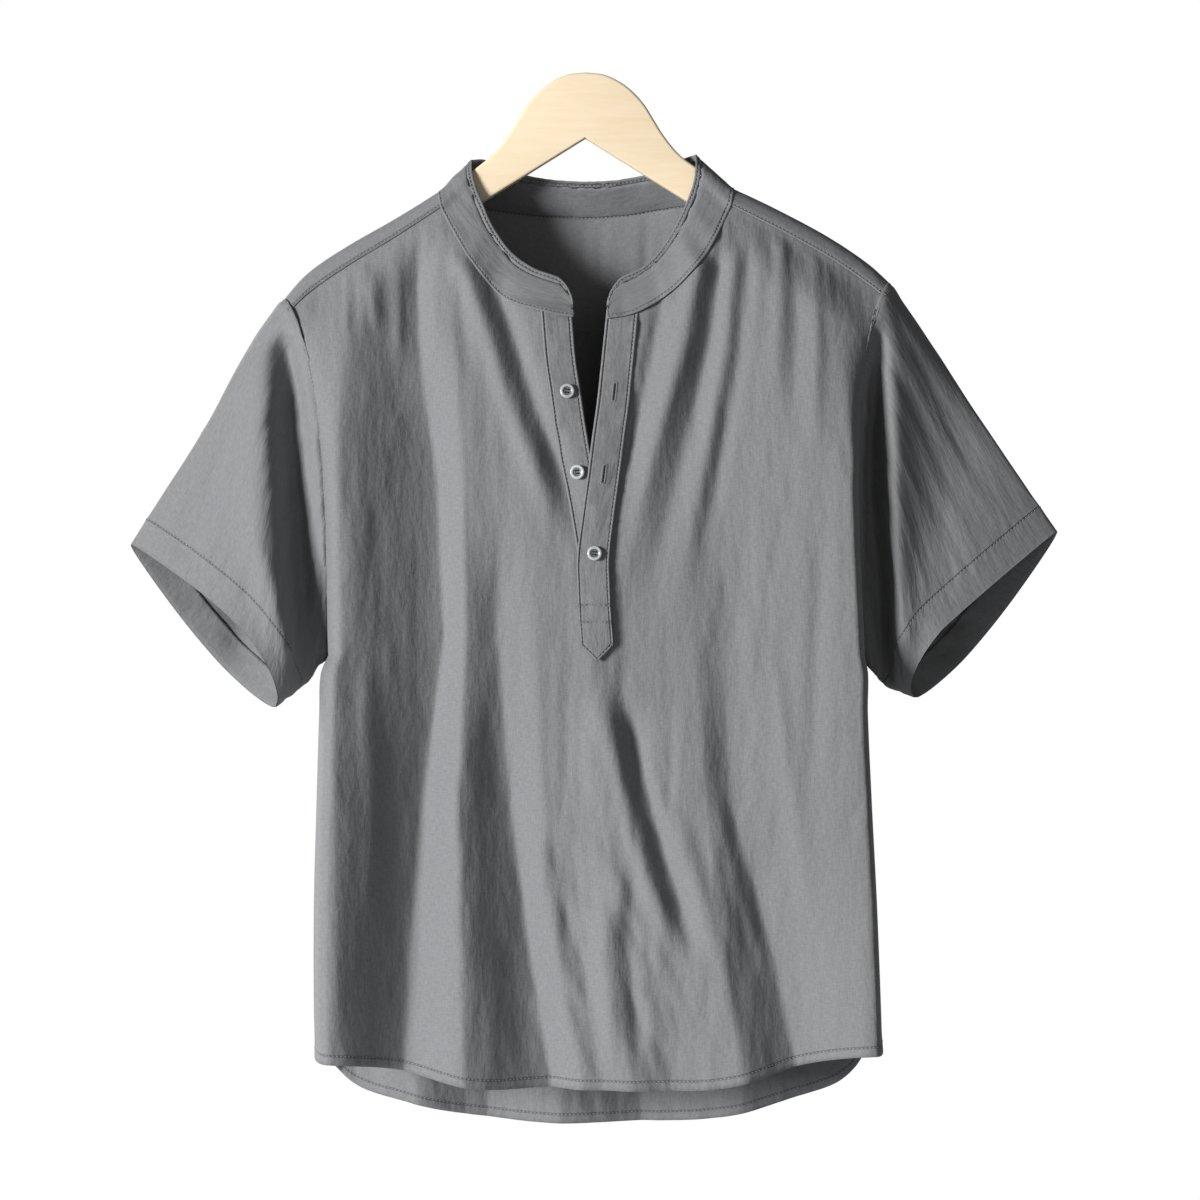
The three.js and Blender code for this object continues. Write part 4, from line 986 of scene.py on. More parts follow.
@dataclass(frozen=True)
class ClothFinish(Finish):
    """Washed linen and cotton cloth, woven plain and dyed in the piece.

    The eye gets a dull cool grey with uneven threads, fine upright crinkles from washing, a faint
    bloom at a grazing angle, and drawn-in lines where it is sewn, darkened by painted shade.
    """

    name: str = "washed linen-cotton cloth"
    roughness: float = 0.88
    ior: float = 1.47
    colour: str = "#717274"
    thread_dark: float = 0.88
    thread_light: float = 1.12
    # darkest tone of the painted shade in a seam's groove
    seam_shade: float = 0.58
    sheen: float = 0.12
    sheen_roughness: float = 0.4
    thread_mm: float = 1.0  # threads are 0.4 mm apart, and drawn this coarse so that they show
    slub_mm: float = 5.0
    mottle_mm: float = 3.0
    crinkle_mm: Pair = (4.6, 12.0)
    crinkle_height_mm: float = 0.55
    groove_mm: float = 1.3
    groove_height_mm: float = 0.6

    def surface(self, tree: NodeTree) -> dict:
        """Threads, crinkles and drawn-in seams darkened by painted shade, laid out on the flat cut.
        """
        cut = add_node(tree, "ShaderNodeUVMap", {"uv_map": "cut"})

        def woven(width: float, length: float, upright: bool, detail: float) -> Node:
            """Noise drawn out along the warp or the weft."""
            size = (width, length) if upright else (length, width)
            scale = (1 / (size[0] * MM), 1 / (size[1] * MM), 1.0)
            spread = add_node(tree, "ShaderNodeMapping", inputs={"Vector": cut, "Scale": scale})
            return add_node(tree, "ShaderNodeTexNoise", {"noise_dimensions": "2D"}, {
                "Vector": spread, "Scale": 1.0, "Detail": detail})

        warp = woven(self.thread_mm, self.slub_mm, True, 1.0)
        weft = woven(self.thread_mm, self.slub_mm, False, 1.0)
        crinkle = woven(*self.crinkle_mm, True, 3.0)
        threads = add_node(tree, "ShaderNodeMath", {"operation": "ADD"}, {0: warp, 1: weft})
        mottle = add_node(tree, "ShaderNodeTexNoise", {"noise_dimensions": "2D"}, {
            "Vector": cut, "Scale": 1 / (self.mottle_mm * MM), "Detail": 2.0})
        mixed = add_node(tree, "ShaderNodeMath", {"operation": "MULTIPLY_ADD"},
                         {0: mottle, 1: 0.5, 2: threads})
        shade = add_node(tree, "ShaderNodeMapRange", inputs={
            "Value": mixed, "From Min": 0.8, "From Max": 1.7,
            "To Min": self.thread_dark, "To Max": self.thread_light})
        gap = add_node(tree, "ShaderNodeAttribute", {"attribute_name": "stitch_mm"}).outputs["Fac"]
        away = add_node(tree, "ShaderNodeMath", {"operation": "ABSOLUTE"}, {0: gap})
        groove = add_node(tree, "ShaderNodeMapRange", {"interpolation_type": "SMOOTHSTEP"}, {
            "Value": away, "From Min": 0.0, "From Max": self.groove_mm,
            "To Min": 1.0, "To Max": 0.0})
        # painted shade: the cloth is drawn darker in each stitched groove, where shade falls
        painted_groove_shade = add_node(tree, "ShaderNodeMapRange", inputs={
            "Value": groove, "To Min": 1.0, "To Max": self.seam_shade})
        tone = add_node(tree, "ShaderNodeMath", {"operation": "MULTIPLY"},
                        {0: shade, 1: painted_groove_shade})
        height = add_node(tree, "ShaderNodeMath", {"operation": "MULTIPLY_ADD"},
                          {0: threads, 1: 0.1, 2: crinkle})
        relief = add_node(tree, "ShaderNodeBump", inputs={
            "Strength": 1.0, "Distance": self.crinkle_height_mm * MM, "Height": height})
        drawn = add_node(tree, "ShaderNodeBump", {"invert": True}, {
            "Strength": 1.0, "Distance": self.groove_height_mm * MM, "Height": groove,
            "Normal": relief})
        return {"Base Color": scaled(tree, self.colour, tone),
                "Normal": drawn, "Sheen Weight": self.sheen,
                "Sheen Roughness": self.sheen_roughness}


@dataclass(frozen=True)
class SpeckledFinish(Finish):
    """A plain finish of one colour, a little darker and lighter from place to place."""

    colour: str = "#ffffff"
    speck_mm: float = 1.0
    darkest: float = 0.8
    lightest: float = 1.2

    def surface(self, tree: NodeTree) -> dict:
        """The speckled colour."""
        place = add_node(tree, "ShaderNodeTexCoord").outputs["Object"]
        noise = add_node(tree, "ShaderNodeTexNoise", inputs={
            "Vector": place, "Scale": 1 / (self.speck_mm * MM)})
        tone = add_node(tree, "ShaderNodeMapRange", inputs={
            "Value": noise, "To Min": self.darkest, "To Max": self.lightest})
        return {"Base Color": scaled(tree, self.colour, tone)}


@dataclass(frozen=True)
class ThreadFinish(SpeckledFinish):
    """Spun polyester sewing thread: smoother and paler than the cloth, so the stitches show."""

    name: str = "spun polyester thread"
    roughness: float = 0.55
    colour: str = "#85888c"
    speck_mm: float = 1 / 0.9


@dataclass(frozen=True)
class ButtonFinish(Finish):
    """Polyester resin button, turned and tumbled: the eye gets a cloudy pearl with a soft gloss."""

    name: str = "pearl polyester resin"
    roughness: float = 0.28
    ior: float = 1.56
    dark: str = "#9a9da0"
    light: str = "#bec0c1"
    cloud_mm: float = 5.0

    def surface(self, tree: NodeTree) -> dict:
        """Clouds of the two colours."""
        place = add_node(tree, "ShaderNodeTexCoord").outputs["Object"]
        noise = add_node(tree, "ShaderNodeTexNoise", inputs={
            "Vector": place, "Scale": 1 / (self.cloud_mm * MM), "Detail": 4.0, "Distortion": 1.2})
        ramp = add_node(tree, "ShaderNodeMix", {"data_type": "RGBA"}, {
            "Factor": noise, 6: linear(self.dark), 7: linear(self.light)})
        return {"Base Color": ramp.outputs[2]}


@dataclass(frozen=True)
class WoodFinish(Finish):
    """Pale schima wood board, sanded fine and sealed with clear matt lacquer.

    The eye gets an even cream with faint long grain and small pores, and no strong gloss.
    """

    name: str = "pale lacquered wood"
    roughness: float = 0.45
    light: str = "#e1d0b3"
    dark: str = "#dcc8a6"
    grain_mm: float = 4.5
    grain_run: float = 8.0

    def surface(self, tree: NodeTree) -> dict:
        """Grain drawn out along the board, in colour and in relief."""
        place = add_node(tree, "ShaderNodeTexCoord").outputs["Object"]
        scale = 1 / (self.grain_mm * MM)
        spread = add_node(tree, "ShaderNodeMapping", inputs={
            "Vector": place, "Scale": (scale / self.grain_run, scale, scale)})
        grain = add_node(tree, "ShaderNodeTexNoise", inputs={
            "Vector": spread, "Scale": 1.0, "Detail": 5.0, "Distortion": 0.6})
        fade = add_node(tree, "ShaderNodeMapRange", inputs={
            "Value": grain, "From Min": 0.35, "From Max": 0.75})
        ramp = add_node(tree, "ShaderNodeMix", {"data_type": "RGBA"}, {
            "Factor": fade, 6: linear(self.light), 7: linear(self.dark)})
        relief = add_node(tree, "ShaderNodeBump", inputs={
            "Strength": 0.25, "Distance": 0.05 * MM, "Height": grain})
        return {"Base Color": ramp.outputs[2], "Normal": relief}


@dataclass(frozen=True)
class FloorFinish(SpeckledFinish):
    """Matt white studio floor with the faintest unevenness."""

    name: str = "matt white floor"
    roughness: float = 0.9
    colour: str = "#f2f2f2"
    speck_mm: float = 1000 / 3
    darkest: float = 0.98
    lightest: float = 1.0


# ---- the garment's pieces

FORM = ShirtForm()
BODY_CENTRE = np.array([0.0, 0.0, -450.0])


@dataclass
class ClothPiece:
    """What every piece of cloth shares: its node, its cut size and how it is dressed."""

    node: str
    flat: Pair
    cut_area: float
    thickness: float = 0.9
    stitch_lift: float = 0.55
    slot: str = "cloth"
    armhole_stitch: float = 2.2

    def __post_init__(self) -> None:
        """Starts with no patches."""
        self.grids: list[Grid] = []

    def dress(self, finish: Material) -> Object:
        """Makes the piece's mesh, gives it its finish, attaches it to the body and hides the
        model's part.

        Args:
            finish: the cloth's material.

        Returns:
            The finished piece.
        """
        piece = cloth_object(f"{self.node}_cloth", self.grids, self.thickness)
        piece.data.materials.append(finish)
        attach(piece, BODY)
        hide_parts(self.node)
        log.info("%s: %d faces", piece.name, len(piece.data.polygons))
        return piece

    def stitch_lines(self) -> Lines:
        """Lines of topstitching on the piece's patches."""
        return [line for grid in self.grids for line in grid.stitch_lines(self.stitch_lift)]


@dataclass
class BodyPanel(ClothPiece):
    """The front or the back panel, from the hem up to the yoke seam."""

    body_rows: int = 92
    armhole_rows: int = 62
    neck_rows: int = 44
    shoulder_rows: int = 8
    half_columns: int = 84
    back_power: float = 3.2
    back_corner: float = 15.0
    hem_stitch: float = 7.5
    corner_place: float = 0.92
    corner_width: float = 0.17
    corner_end: int = 30
    tuck_reach: float = 3.5
    tuck_sink: float = 1.1
    hem_roll: float = 0.5
    hem_roll_reach: float = 5

    def levels(self, last_rows: int) -> Array:
        """Levels of the rows: 0 hem, 1 armpit, 2 middle of the armhole and 3 its end.

        Args:
            last_rows: rows from the armhole's middle to its end.

        Returns:
            The levels, rising.
        """
        counts = (self.body_rows, self.armhole_rows, last_rows)
        first, *others = (np.linspace(k, k + 1, count) for k, count in enumerate(counts))
        return np.concatenate([first, *(run[1:] for run in others)])

    def panel(self, points: Array, x: Array, drop: Array, sides: tuple[Edge, ...]) -> Grid:
        """A panel's grid, with the stitches of its hem and beside its armholes.

        Args:
            points: its points, as rows from the hem up.
            x: their places across, on the flat cut.
            drop: their drops, on the flat cut.
            sides: its edges that have an armhole.

        Returns:
            The grid.
        """
        armpit = (self.body_rows - 1) / (len(points) - 1)
        seams = [Seam(Edge.FIRST_ROW, self.hem_stitch, both_sides=len(sides) > 1)]
        seams += [Seam(edge, self.armhole_stitch, first=armpit + 0.01) for edge in sides]
        return Grid(points, BODY_CENTRE, np.stack([x, drop], axis=-1), seams)

    def outer_edge(self, face: Face, side: Side, level: Array, last: float) -> tuple[Array, Array]:
        """Outer edge of the body.

        Args:
            face: the front or the back.
            side: left or right.
            level: the rows' levels.
            last: place on the armhole where it ends.

        Returns:
            The edge's points, and a weight of 1 beside the armhole that fades to 0 below it.
        """
        drop = mix(FORM.HEM_SIDE[side], FORM.SIDE_SEAM.key[0], np.clip(level, 0, 1))
        seam = place_at(side.sign * FORM.SIDE_SEAM.read(side.value, drop),
                        face.value * FORM.half_seam, drop)
        round_ = np.interp(level, [1, 2, 3], [1, FORM.armhole_middle, last])
        armhole = FORM.armhole_point(side, face, round_)
        points = np.where((level <= 1)[..., None], seam, armhole)
        beside = np.where(level <= 1, 0, ease(1 - round_, *FORM.armhole_blend))
        return points, beside

    def columns(self) -> Array:
        """Places across from the side (0) to the middle (1), closer within the rounded side."""
        start = FORM.side_round / FORM.half_width
        side = start * np.array([0, 0.03, 0.08, 0.15, 0.24, 0.35, 0.48, 0.62, 0.78])
        return np.concatenate([side, np.linspace(start, 1, self.half_columns)])

    def front_half(self, side: Side) -> Grid:
        """One half of the front panel, as rows from the hem up.

        Args:
            side: left or right.

        Returns:
            The half, with columns from the side to the middle.
        """
        level = self.levels(self.neck_rows)
        edge, beside = self.outer_edge(Face.FRONT, side, level, FORM.front_corner)
        neck_x, neck_drop = FORM.NECKLINE[side][-1]
        body_drop = mix(FORM.hem_front, FORM.slit_drop, np.clip(level, 0, 1))
        slit_drop = mix(FORM.slit_drop, neck_drop, np.clip(level - 1, 0, 1))
        slit_x = mix(PLACKETS[side].middle.read("x", slit_drop), neck_x, ease(level, 1.9, 2.0))
        curve = FORM.neckline(side).at(np.clip(level - 2, 0, 1))
        below = [level <= 1, level <= 2]
        body_x = mix(FORM.hem_centre, FORM.slit_x, level)
        inner_x = np.select(below, [body_x, slit_x], curve[..., 0])
        inner_drop = np.select(below, [body_drop, slit_drop], -curve[..., 2])
        row = np.interp(level, [0, 1, 2, 3], [0, 0.4, 0.72, 1])
        place = self.columns()[None, :]
        share = mix(ease(place, 0.02, 0.7), place, ease(row, 0, 1)[:, None])
        x = mix(edge[:, None, 0], inner_x[:, None], place)
        seam = ease(level, 2, 3)[:, None]
        straight = mix(FORM.seam_drop(edge[:, 0])[:, None], FORM.seam_drop(inner_x)[:, None], place)
        drop = mix(-edge[:, None, 2], inner_drop[:, None], share)
        drop = drop + seam * (FORM.seam_drop(x) - straight)
        points = FORM.on_face(Face.FRONT, x, drop, edge[:, None], beside[:, None])
        points[:, 0] = edge
        return self.panel(points, x, drop, (Edge.FIRST_COLUMN,))

    def build_front(self) -> None:
        """Builds both halves of the front panel, joined below the slit."""
        for side, seed in ((Side.LEFT, 3), (Side.RIGHT, 29)):
            grid = self.front_half(side)
            middle = grid.points[:self.body_rows, -1].copy()
            grid.pucker(height=0.45, wave=9, reach=6, seed=seed)
            grid.points[:self.body_rows, -1] = middle
            gap = grid.distance(Edge.FIRST_ROW)
            roll = self.hem_roll * np.exp(-((gap / self.hem_roll_reach) ** 2))
            roll[:, -1] = 0
            grid.raise_by(roll)
            grid.tuck(Edge.LAST_ROW, reach=self.tuck_reach, sink=self.tuck_sink)
            self.grids.append(grid)

    def build_back(self) -> None:
        """Builds the back panel, from the left side to the right side."""
        level = self.levels(self.shoulder_rows)
        (left, beside), (right, _) = (self.outer_edge(
            Face.BACK, side, level, FORM.armhole_share(side, FORM.back_yoke_drop)) for side in Side)
        half = self.columns() / 2
        place = np.concatenate([half, (1 - half[:-1])[::-1]])[None, :]
        x = mix(left[:, None, 0], right[:, None, 0], place)
        lowest = np.clip(1 - level, 0, 1)[:, None]
        out = np.abs(2 * place - 1)
        sag = (FORM.hem_back - mix(*FORM.HEM_SIDE.values(), place)) * (1 - out ** self.back_power)
        corner = np.exp(-(((out - self.corner_place) / self.corner_width) ** 2))
        corner = corner * (1 - out ** self.corner_end)
        sag = (sag + self.back_corner * corner) * lowest
        drop = mix(-left[:, None, 2], -right[:, None, 2], place) + sag
        near = np.where(place[..., None] < 0.5, left[:, None], right[:, None])
        points = FORM.on_face(Face.BACK, x, drop, near, beside[:, None])
        points[:, 0], points[:, -1] = left, right
        grid = self.panel(points, x, drop, (Edge.FIRST_COLUMN, Edge.LAST_COLUMN))
        grid.pucker(height=0.5, wave=9, reach=6, seed=61)
        grid.tuck(Edge.LAST_ROW, reach=self.tuck_reach, sink=self.tuck_sink)
        self.grids.append(grid)


@dataclass
class Yoke(ClothPiece):
    """The yoke over both shoulders, from the front seams to the back seam."""

    columns: int = 62
    front_rows: int = 16
    back_rows: int = 44
    neck_columns: int = 96
    lap: float = 0.7
    lap_reach: float = 5
    edge_stitch: float = 2.0

    def pinned(self, row: Array, first: Array, last: Array) -> Array:
        """Shifts a row so that its ends meet two points.

        Args:
            row: the points.
            first: where the first one goes.
            last: where the last one goes.

        Returns:
            The row, with the shifts fading inwards.
        """
        shifted = row.copy()
        for end, target in ((row[0], first), (row[-1], last)):
            gap = np.linalg.norm(row - end, axis=-1, keepdims=True)
            shifted += (target - end) * np.clip(1 - gap / FORM.armhole_round, 0, 1) ** 2
        return shifted

    def back_quarter(self, foot: Array, top: Array, part: float) -> Array:
        """Points between the back seam (part 0) and the ridge or neckline (part 1)."""
        angle = part * math.pi / 2
        foot, top = np.broadcast_arrays(foot, top)
        return np.stack([mix(foot[..., 0], top[..., 0], part),
                         mix(top[..., 1], foot[..., 1], math.cos(angle)),
                         mix(foot[..., 2], top[..., 2], math.sin(angle))], axis=-1)

    def shoulder(self, side: Side) -> Grid:
        """One shoulder, as rows from the front seam over the ridge to the back seam."""
        ridge_neck = FORM.back_neckline(2)[0 if side is Side.LEFT else -1]
        back_place = FORM.armhole_share(side, FORM.back_yoke_drop)
        top = FORM.armhole_point(side, Face.FRONT, 0.0)
        place = np.linspace(0, 1, self.columns)
        x = mix(top[0], ridge_neck[0], place)
        ridge = self.pinned(place_at(x, 0.0, FORM.ridge_drop(x)), top, ridge_neck)
        seam = FORM.yoke_seam(side, place)
        rows = []
        for part in np.linspace(0, 1, self.front_rows)[:-1]:
            rise, fall = math.sin(part * math.pi / 2), math.cos(part * math.pi / 2)
            row = mix(seam, ridge, rise)
            row[:, 1] = seam[:, 1] * fall
            edge = FORM.armhole_point(side, Face.FRONT, FORM.front_corner * (1 - rise))
            rows.append(self.pinned(row, edge, row[-1]) if part else row)
        foot = FORM.back_seam(ridge[:, 0])
        neck_foot = FORM.back_seam(np.array(side.sign * FORM.neck_out))
        for part in np.linspace(1, 0, self.back_rows):
            row = self.back_quarter(foot, ridge, part)
            neck = self.back_quarter(neck_foot, ridge_neck, part)
            rise = math.sin(part * math.pi / 2)
            edge = FORM.armhole_point(side, Face.BACK, back_place * (1 - rise))
            rows.append(self.pinned(row, edge, neck))
        return Grid(np.array(rows), BODY_CENTRE, across_grain=True)

    def middle(self) -> Grid:
        """The middle of the yoke, as rows from the neckline down to the back seam."""
        neckline = FORM.back_neckline(self.neck_columns)
        foot = FORM.back_seam(np.linspace(-FORM.neck_out, FORM.neck_out, self.neck_columns))
        rows = [self.back_quarter(foot, neckline, part)
                for part in np.linspace(1, 0, self.back_rows)]
        return Grid(np.array(rows), BODY_CENTRE, across_grain=True)

    def build(self) -> None:
        """Builds the three patches, lapped over the panels below."""
        self.grids = [self.shoulder(Side.LEFT), self.shoulder(Side.RIGHT), self.middle()]
        for grid in self.grids:
            gap = grid.distance(Edge.LAST_ROW)
            grid.seams = [Seam(Edge.LAST_ROW, self.edge_stitch)]
            if grid is not self.grids[-1]:
                gap = np.minimum(grid.distance(Edge.FIRST_ROW), gap)
                grid.seams += [Seam(Edge.FIRST_ROW, self.edge_stitch),
                               Seam(Edge.FIRST_COLUMN, self.armhole_stitch)]
            grid.raise_by(self.lap * np.exp(-((gap / self.lap_reach) ** 2)))


@dataclass
class Sleeve(ClothPiece):
    """A short sleeve as a tube, with its hem turned up inside."""

    side: Side = Side.LEFT
    front_places: int = 104
    back_places: int = 84
    rings: int = 64
    hem_depth: float = 24
    gap_top: float = 1.1
    gap_under: float = 1.9
    turn: float = 0.9
    crowding: float = 1.15
    turning_below: float = 300.0
    gather_height: float = 1.1
    gather_reach: float = 16

    CRINKLES = ((0.8, (15, 48)), (0.35, (7, 22)))  # height, cell

    def build(self) -> None:
        """Builds the tube and the turning inside its hem."""
        front, back = (np.linspace(0, 1, count) ** self.crowding
                       for count in (self.front_places, self.back_places))
        along = np.linspace(0, 1, self.rings)[:, None]
        tube = np.concatenate([FORM.sleeve_point(self.side, Face.FRONT, front[None], along),
                               FORM.sleeve_point(self.side, Face.BACK, back[None, -2::-1], along)],
                              axis=1)
        outward = np.array([self.side.sign, 0, -0.45]) / math.hypot(1, 0.45)
        rise = ease(tube[0, :, 2] - tube[0, :, 2].min(), 10, 60)
        shift = mix(self.gap_under, self.gap_top, rise)[None, :, None]
        fade = (1 - ease(along, 0, 0.05))[..., None]
        tube = tube + outward * shift * fade
        middle = tube[self.rings // 2].mean(axis=0)
        around, length = lengths_along(tube, 1), lengths_along(tube, 0).mean(axis=1)[:, None]
        seed = 71 if self.side is Side.LEFT else 83
        grid = Grid(tube, middle, np.stack([around, np.broadcast_to(length, around.shape)], -1))
        fine = rumples(self.CRINKLES, around, length, seed)
        gather = self.gather_height * rumple(around, length, (6, 60), seed + 4)
        gather = gather * np.exp(-length / self.gather_reach)
        grid.raise_by((fine + gather) * ease(along, 0.0, 0.03) * (1 - 0.6 * ease(along, 0.85, 0.9)))
        grid.points[:, -1] = grid.points[:, 0]
        grid.seams = [Seam(Edge.LAST_ROW, self.hem_depth)]
        grid.pucker(height=0.35, wave=8, reach=5, seed=seed + 2)
        grid.points[:, -1] = grid.points[:, 0]
        grid.tuck(Edge.FIRST_ROW, reach=5, sink=1.1)
        self.grids = [grid, self.turning(grid, middle)]

    def turning(self, grid: Grid, middle: Array) -> Grid:
        """The hem's turning, which lies inside the tube.

        Args:
            grid: the tube.
            middle: a point inside it.

        Returns:
            The turning, which starts at the tube's own last ring.
        """
        gap = grid.distance(Edge.LAST_ROW).T[:, ::-1]
        steps = np.linspace(0, self.hem_depth + 1.5, 12)
        rows, normals = (np.array([read_lines(step, gap, v.swapaxes(0, 1)[:, ::-1])
                                   for step in steps]) for v in (grid.points, grid.normals))
        sink = self.turn * ease(steps, -0.5, 1.5)[:, None, None] * (steps > 0)[:, None, None]
        points = rows - normals * sink
        points[0] = grid.points[-1]
        inner = Grid(points, middle)
        inner.cut = inner.cut + np.array([0.0, self.turning_below])
        return inner


@dataclass
class Placket(ClothPiece):
    """One strip of the placket, lying on the front."""

    side: Side = Side.LEFT
    width: float = 24
    start: float = 193.5
    end: float = 440
    point: float = 0.0
    lift: float = 1.8
    overlap: float = 0.0
    overlap_from: float = 235
    overlap_to: float = 298
    middle: Profile | None = None
    bars: tuple[float, ...] = ()
    rows: int = 260
    edge_stitch: float = 2.0
    smoothing: float = 5
    unevenness: float = 0.5

    def depth(self, x: Array, drop: Array) -> Array:
        """Depth of the strip's middle layer at a place on the front."""
        over = self.overlap * ease(drop, self.overlap_from, self.overlap_to)
        lift = self.lift * mix(0.3, 1.0, ease(drop, self.start + 2, self.start + 10))
        steps = (-self.smoothing, 0, self.smoothing)
        smooth = np.mean([FORM.face_depth(Face.FRONT, x + step, drop) for step in steps], axis=0)
        return smooth - lift - over

    def place(self, part: Array, across: Array) -> Array:
        """Points of the strip.

        Args:
            part: place from the top (0) to the end (1).
            across: place from the left edge (-1) to the right edge (1).

        Returns:
            The points.
        """
        end = self.end + self.point * (1 - np.abs(across))
        drop = mix(self.start, end, part)
        x = self.middle.read("x", drop) + across * self.width / 2
        return place_at(x, self.depth(x, drop), drop)

    def build(self) -> None:
        """Builds the strip, with its seamed edges rolled and its stitches drawn in."""
        inset = np.array([0, 0.3, 0.7, 1.1, 1.5, 1.8, 2.1, 2.5, 3.0, 4.0, 5.2, 7, 9.2])
        half = inset * 2 / self.width - 1
        across = np.concatenate([half, [0], -half[::-1]])[None, :]
        points = self.place(np.linspace(0, 1, self.rows)[:, None], across)
        edges = (Edge.FIRST_COLUMN, Edge.LAST_COLUMN, Edge.LAST_ROW)[:3 if self.point else 2]
        seams = [Seam(edge, self.edge_stitch) for edge in edges]
        grid = Grid(points, BODY_CENTRE, seams=seams, bars=self.bars)
        grid.pipe(edges)
        grid.pucker(height=0.3, wave=7, reach=4.5, seed=91 + self.side.sign)
        dents = rumple(*np.moveaxis(grid.cut, -1, 0), (11, 15), 97 + self.side.sign)
        grid.raise_by(self.unevenness * dents)
        self.grids = [grid]


PLACKETS = {
    Side.LEFT: Placket(
        "placket_button", (0.028, 0.27), 0.0062,
        middle=Profile([190, 200, 233, 256, 283, 315, 345, 388, 440],
                       x=[-25.3, -24.4, -21.5, -18, -14, -8.5, -2.6, 4, 5.5])),
    Side.RIGHT: Placket(
        "placket_buttonhole", (0.029, 0.28), 0.0068, side=Side.RIGHT, width=25, end=457,
        point=12.4, overlap=1.9, bars=(425.5, 438.8),
        middle=Profile([190, 199, 230, 266, 295, 320, 352, 388, 410, 433, 457, 470],
                       x=[27.8, 26.9, 23.8, 20, 16, 13, 8.6, 4.3, 4.7, 5.8, 7.6, 7.6])),
}


@dataclass
class Collar(ClothPiece):
    """The band collar: it stands on the neck seam and has rounded front corners."""

    height: float = 36
    end_height: float = 12
    end_radius: float = 18
    lap: float = 1.4
    lap_out: float = 1.0
    end_out: float = 1.9
    end_reach: float = 34
    seam_reach: float = 6
    ridge_reach: float = 9
    ridge_ease: float = 0.75
    edge_stitch: float = 2.4
    unevenness: float = 0.55
    rows: int = 11
    neck_points: int = 46
    back_points: int = 90

    TOP = {
        Side.LEFT: ((-93, 1, 70), (-92.6, -8, 80.6), (-89.2, -11, 93.9), (-84, -14, 106.4),
                    (-75.8, -17.5, 124.7), (-60.5, -21.5, 146.4), (-45.2, -23.5, 157.6),
                    (-32.1, -25, 163.4), (-12, -26.5, 169.5)),
        Side.RIGHT: ((86, 1, 65.6), (86, -8, 74), (84.3, -11, 89.2), (75.1, -15, 113.9),
                     (66.9, -17.5, 129.7), (57.8, -20, 143.6), (46.6, -22.5, 155.8),
                     (34.4, -24.5, 162.6), (16, -26.5, 169.8)),
    }
    TOP_BACK = ((-93, 1, 70), (-82, 9, 69), (-48, 17, 80.6), (-2, 19, 85), (45, 17, 80.4),
                (74, 9, 69), (86, 1, 65.6))
    ENDS = {Side.LEFT: (-12.2, 198.4), Side.RIGHT: (15.4, 199.2)}

    def front_seam(self, side: Side, yoke: Grid) -> Array:
        """Neck seam of one front, from the collar's end up to the shoulder's ridge.

        Args:
            side: left or right.
            yoke: that side's shoulder patch.

        Returns:
            The points.
        """
        curve = FORM.neckline(side)
        end_x, end_drop = self.ENDS[side]
        first = curve.points[0]
        shares = np.array([0, 0.03, 0.06, 0.1, 0.14, 0.18, 0.22, 0.27, 0.34, 0.44, 0.56, 0.7, 0.85])
        tip = mix(np.array([end_x, 0, -end_drop]), first, shares[:, None])
        points = np.vstack([tip, curve.at(np.linspace(0, 1, self.neck_points))])
        points[:, 1] = FORM.face_depth(Face.FRONT, points[:, 0], -points[:, 2])
        return np.vstack([points[:-1], yoke.points[:Yoke.front_rows, -1]])

    def matched(self, line: Array, top: tuple) -> Array:
        """Points of the collar's upper edge at the same shares as a line's points."""
        curve = SmoothLine(np.array([(x, y, -drop) for x, y, drop in top]))
        lengths = lengths_along(line, 0)
        return curve.at(lengths / lengths[-1])

    def build(self, shoulders: dict[Side, Grid]) -> None:
        """Builds the collar on the neck seam.

        Args:
            shoulders: the yoke's patches, by side.
        """
        left, right = (self.front_seam(side, shoulders[side]) for side in Side)
        back = FORM.back_neckline(self.back_points)
        seam = np.vstack([left[:-1], back, right[:-1][::-1]])
        top_left, top_right = (self.matched(line, self.TOP[side][::-1])[:-1]
                               for line, side in ((left, Side.LEFT), (right, Side.RIGHT)))
        top = np.vstack([top_left, self.matched(back, self.TOP_BACK), top_right[::-1]])
        lengths = lengths_along(seam, 0)
        from_end = np.minimum(lengths, lengths[-1] - lengths)
        corner = np.sqrt(1 - (1 - np.minimum(from_end, self.end_radius) / self.end_radius) ** 2)
        tall = mix(self.end_height / self.height, 1.0, corner)
        inset = np.array([0, 0.35, 0.7, 1.2, 1.9, 2.4, 2.8, 3.3, 4.0, 5.4])
        middle = np.linspace(7, self.height - 5, self.rows)
        parts = np.concatenate([inset - self.lap, middle, self.height - inset[::-1]])
        parts = (parts / self.height)[:, None]
        share = np.where(parts < 0, parts, parts * tall[None, :])
        points = mix(seam[None], top[None], share[..., None])
        grid = Grid(points, np.array([0, 0, -200.0]), across_grain=True)
        near_seam = np.exp(-((grid.distance(Edge.FIRST_ROW) / self.seam_reach) ** 2))
        ridge = np.exp(-((seam[:, 1] / self.ridge_reach) ** 2))[None, :]
        over = self.lap_out + self.end_out * np.exp(-((from_end / self.end_reach) ** 2))[None, :]
        grid.raise_by(over * near_seam * (1 - self.ridge_ease * ridge))
        grid.seams = [Seam(edge, self.edge_stitch, both_sides=True)
                      for edge in (Edge.FIRST_ROW, Edge.LAST_ROW)]
        grid.pipe(tuple(Edge), roll=0.3, size=0.5)
        grid.pucker(height=0.28, wave=7, reach=5, seed=131)
        dents = rumple(*np.moveaxis(grid.cut, -1, 0), (15, 19), 133)
        grid.raise_by(self.unevenness * dents)
        self.grids = [grid]


# ---- stitches, buttons and hanger


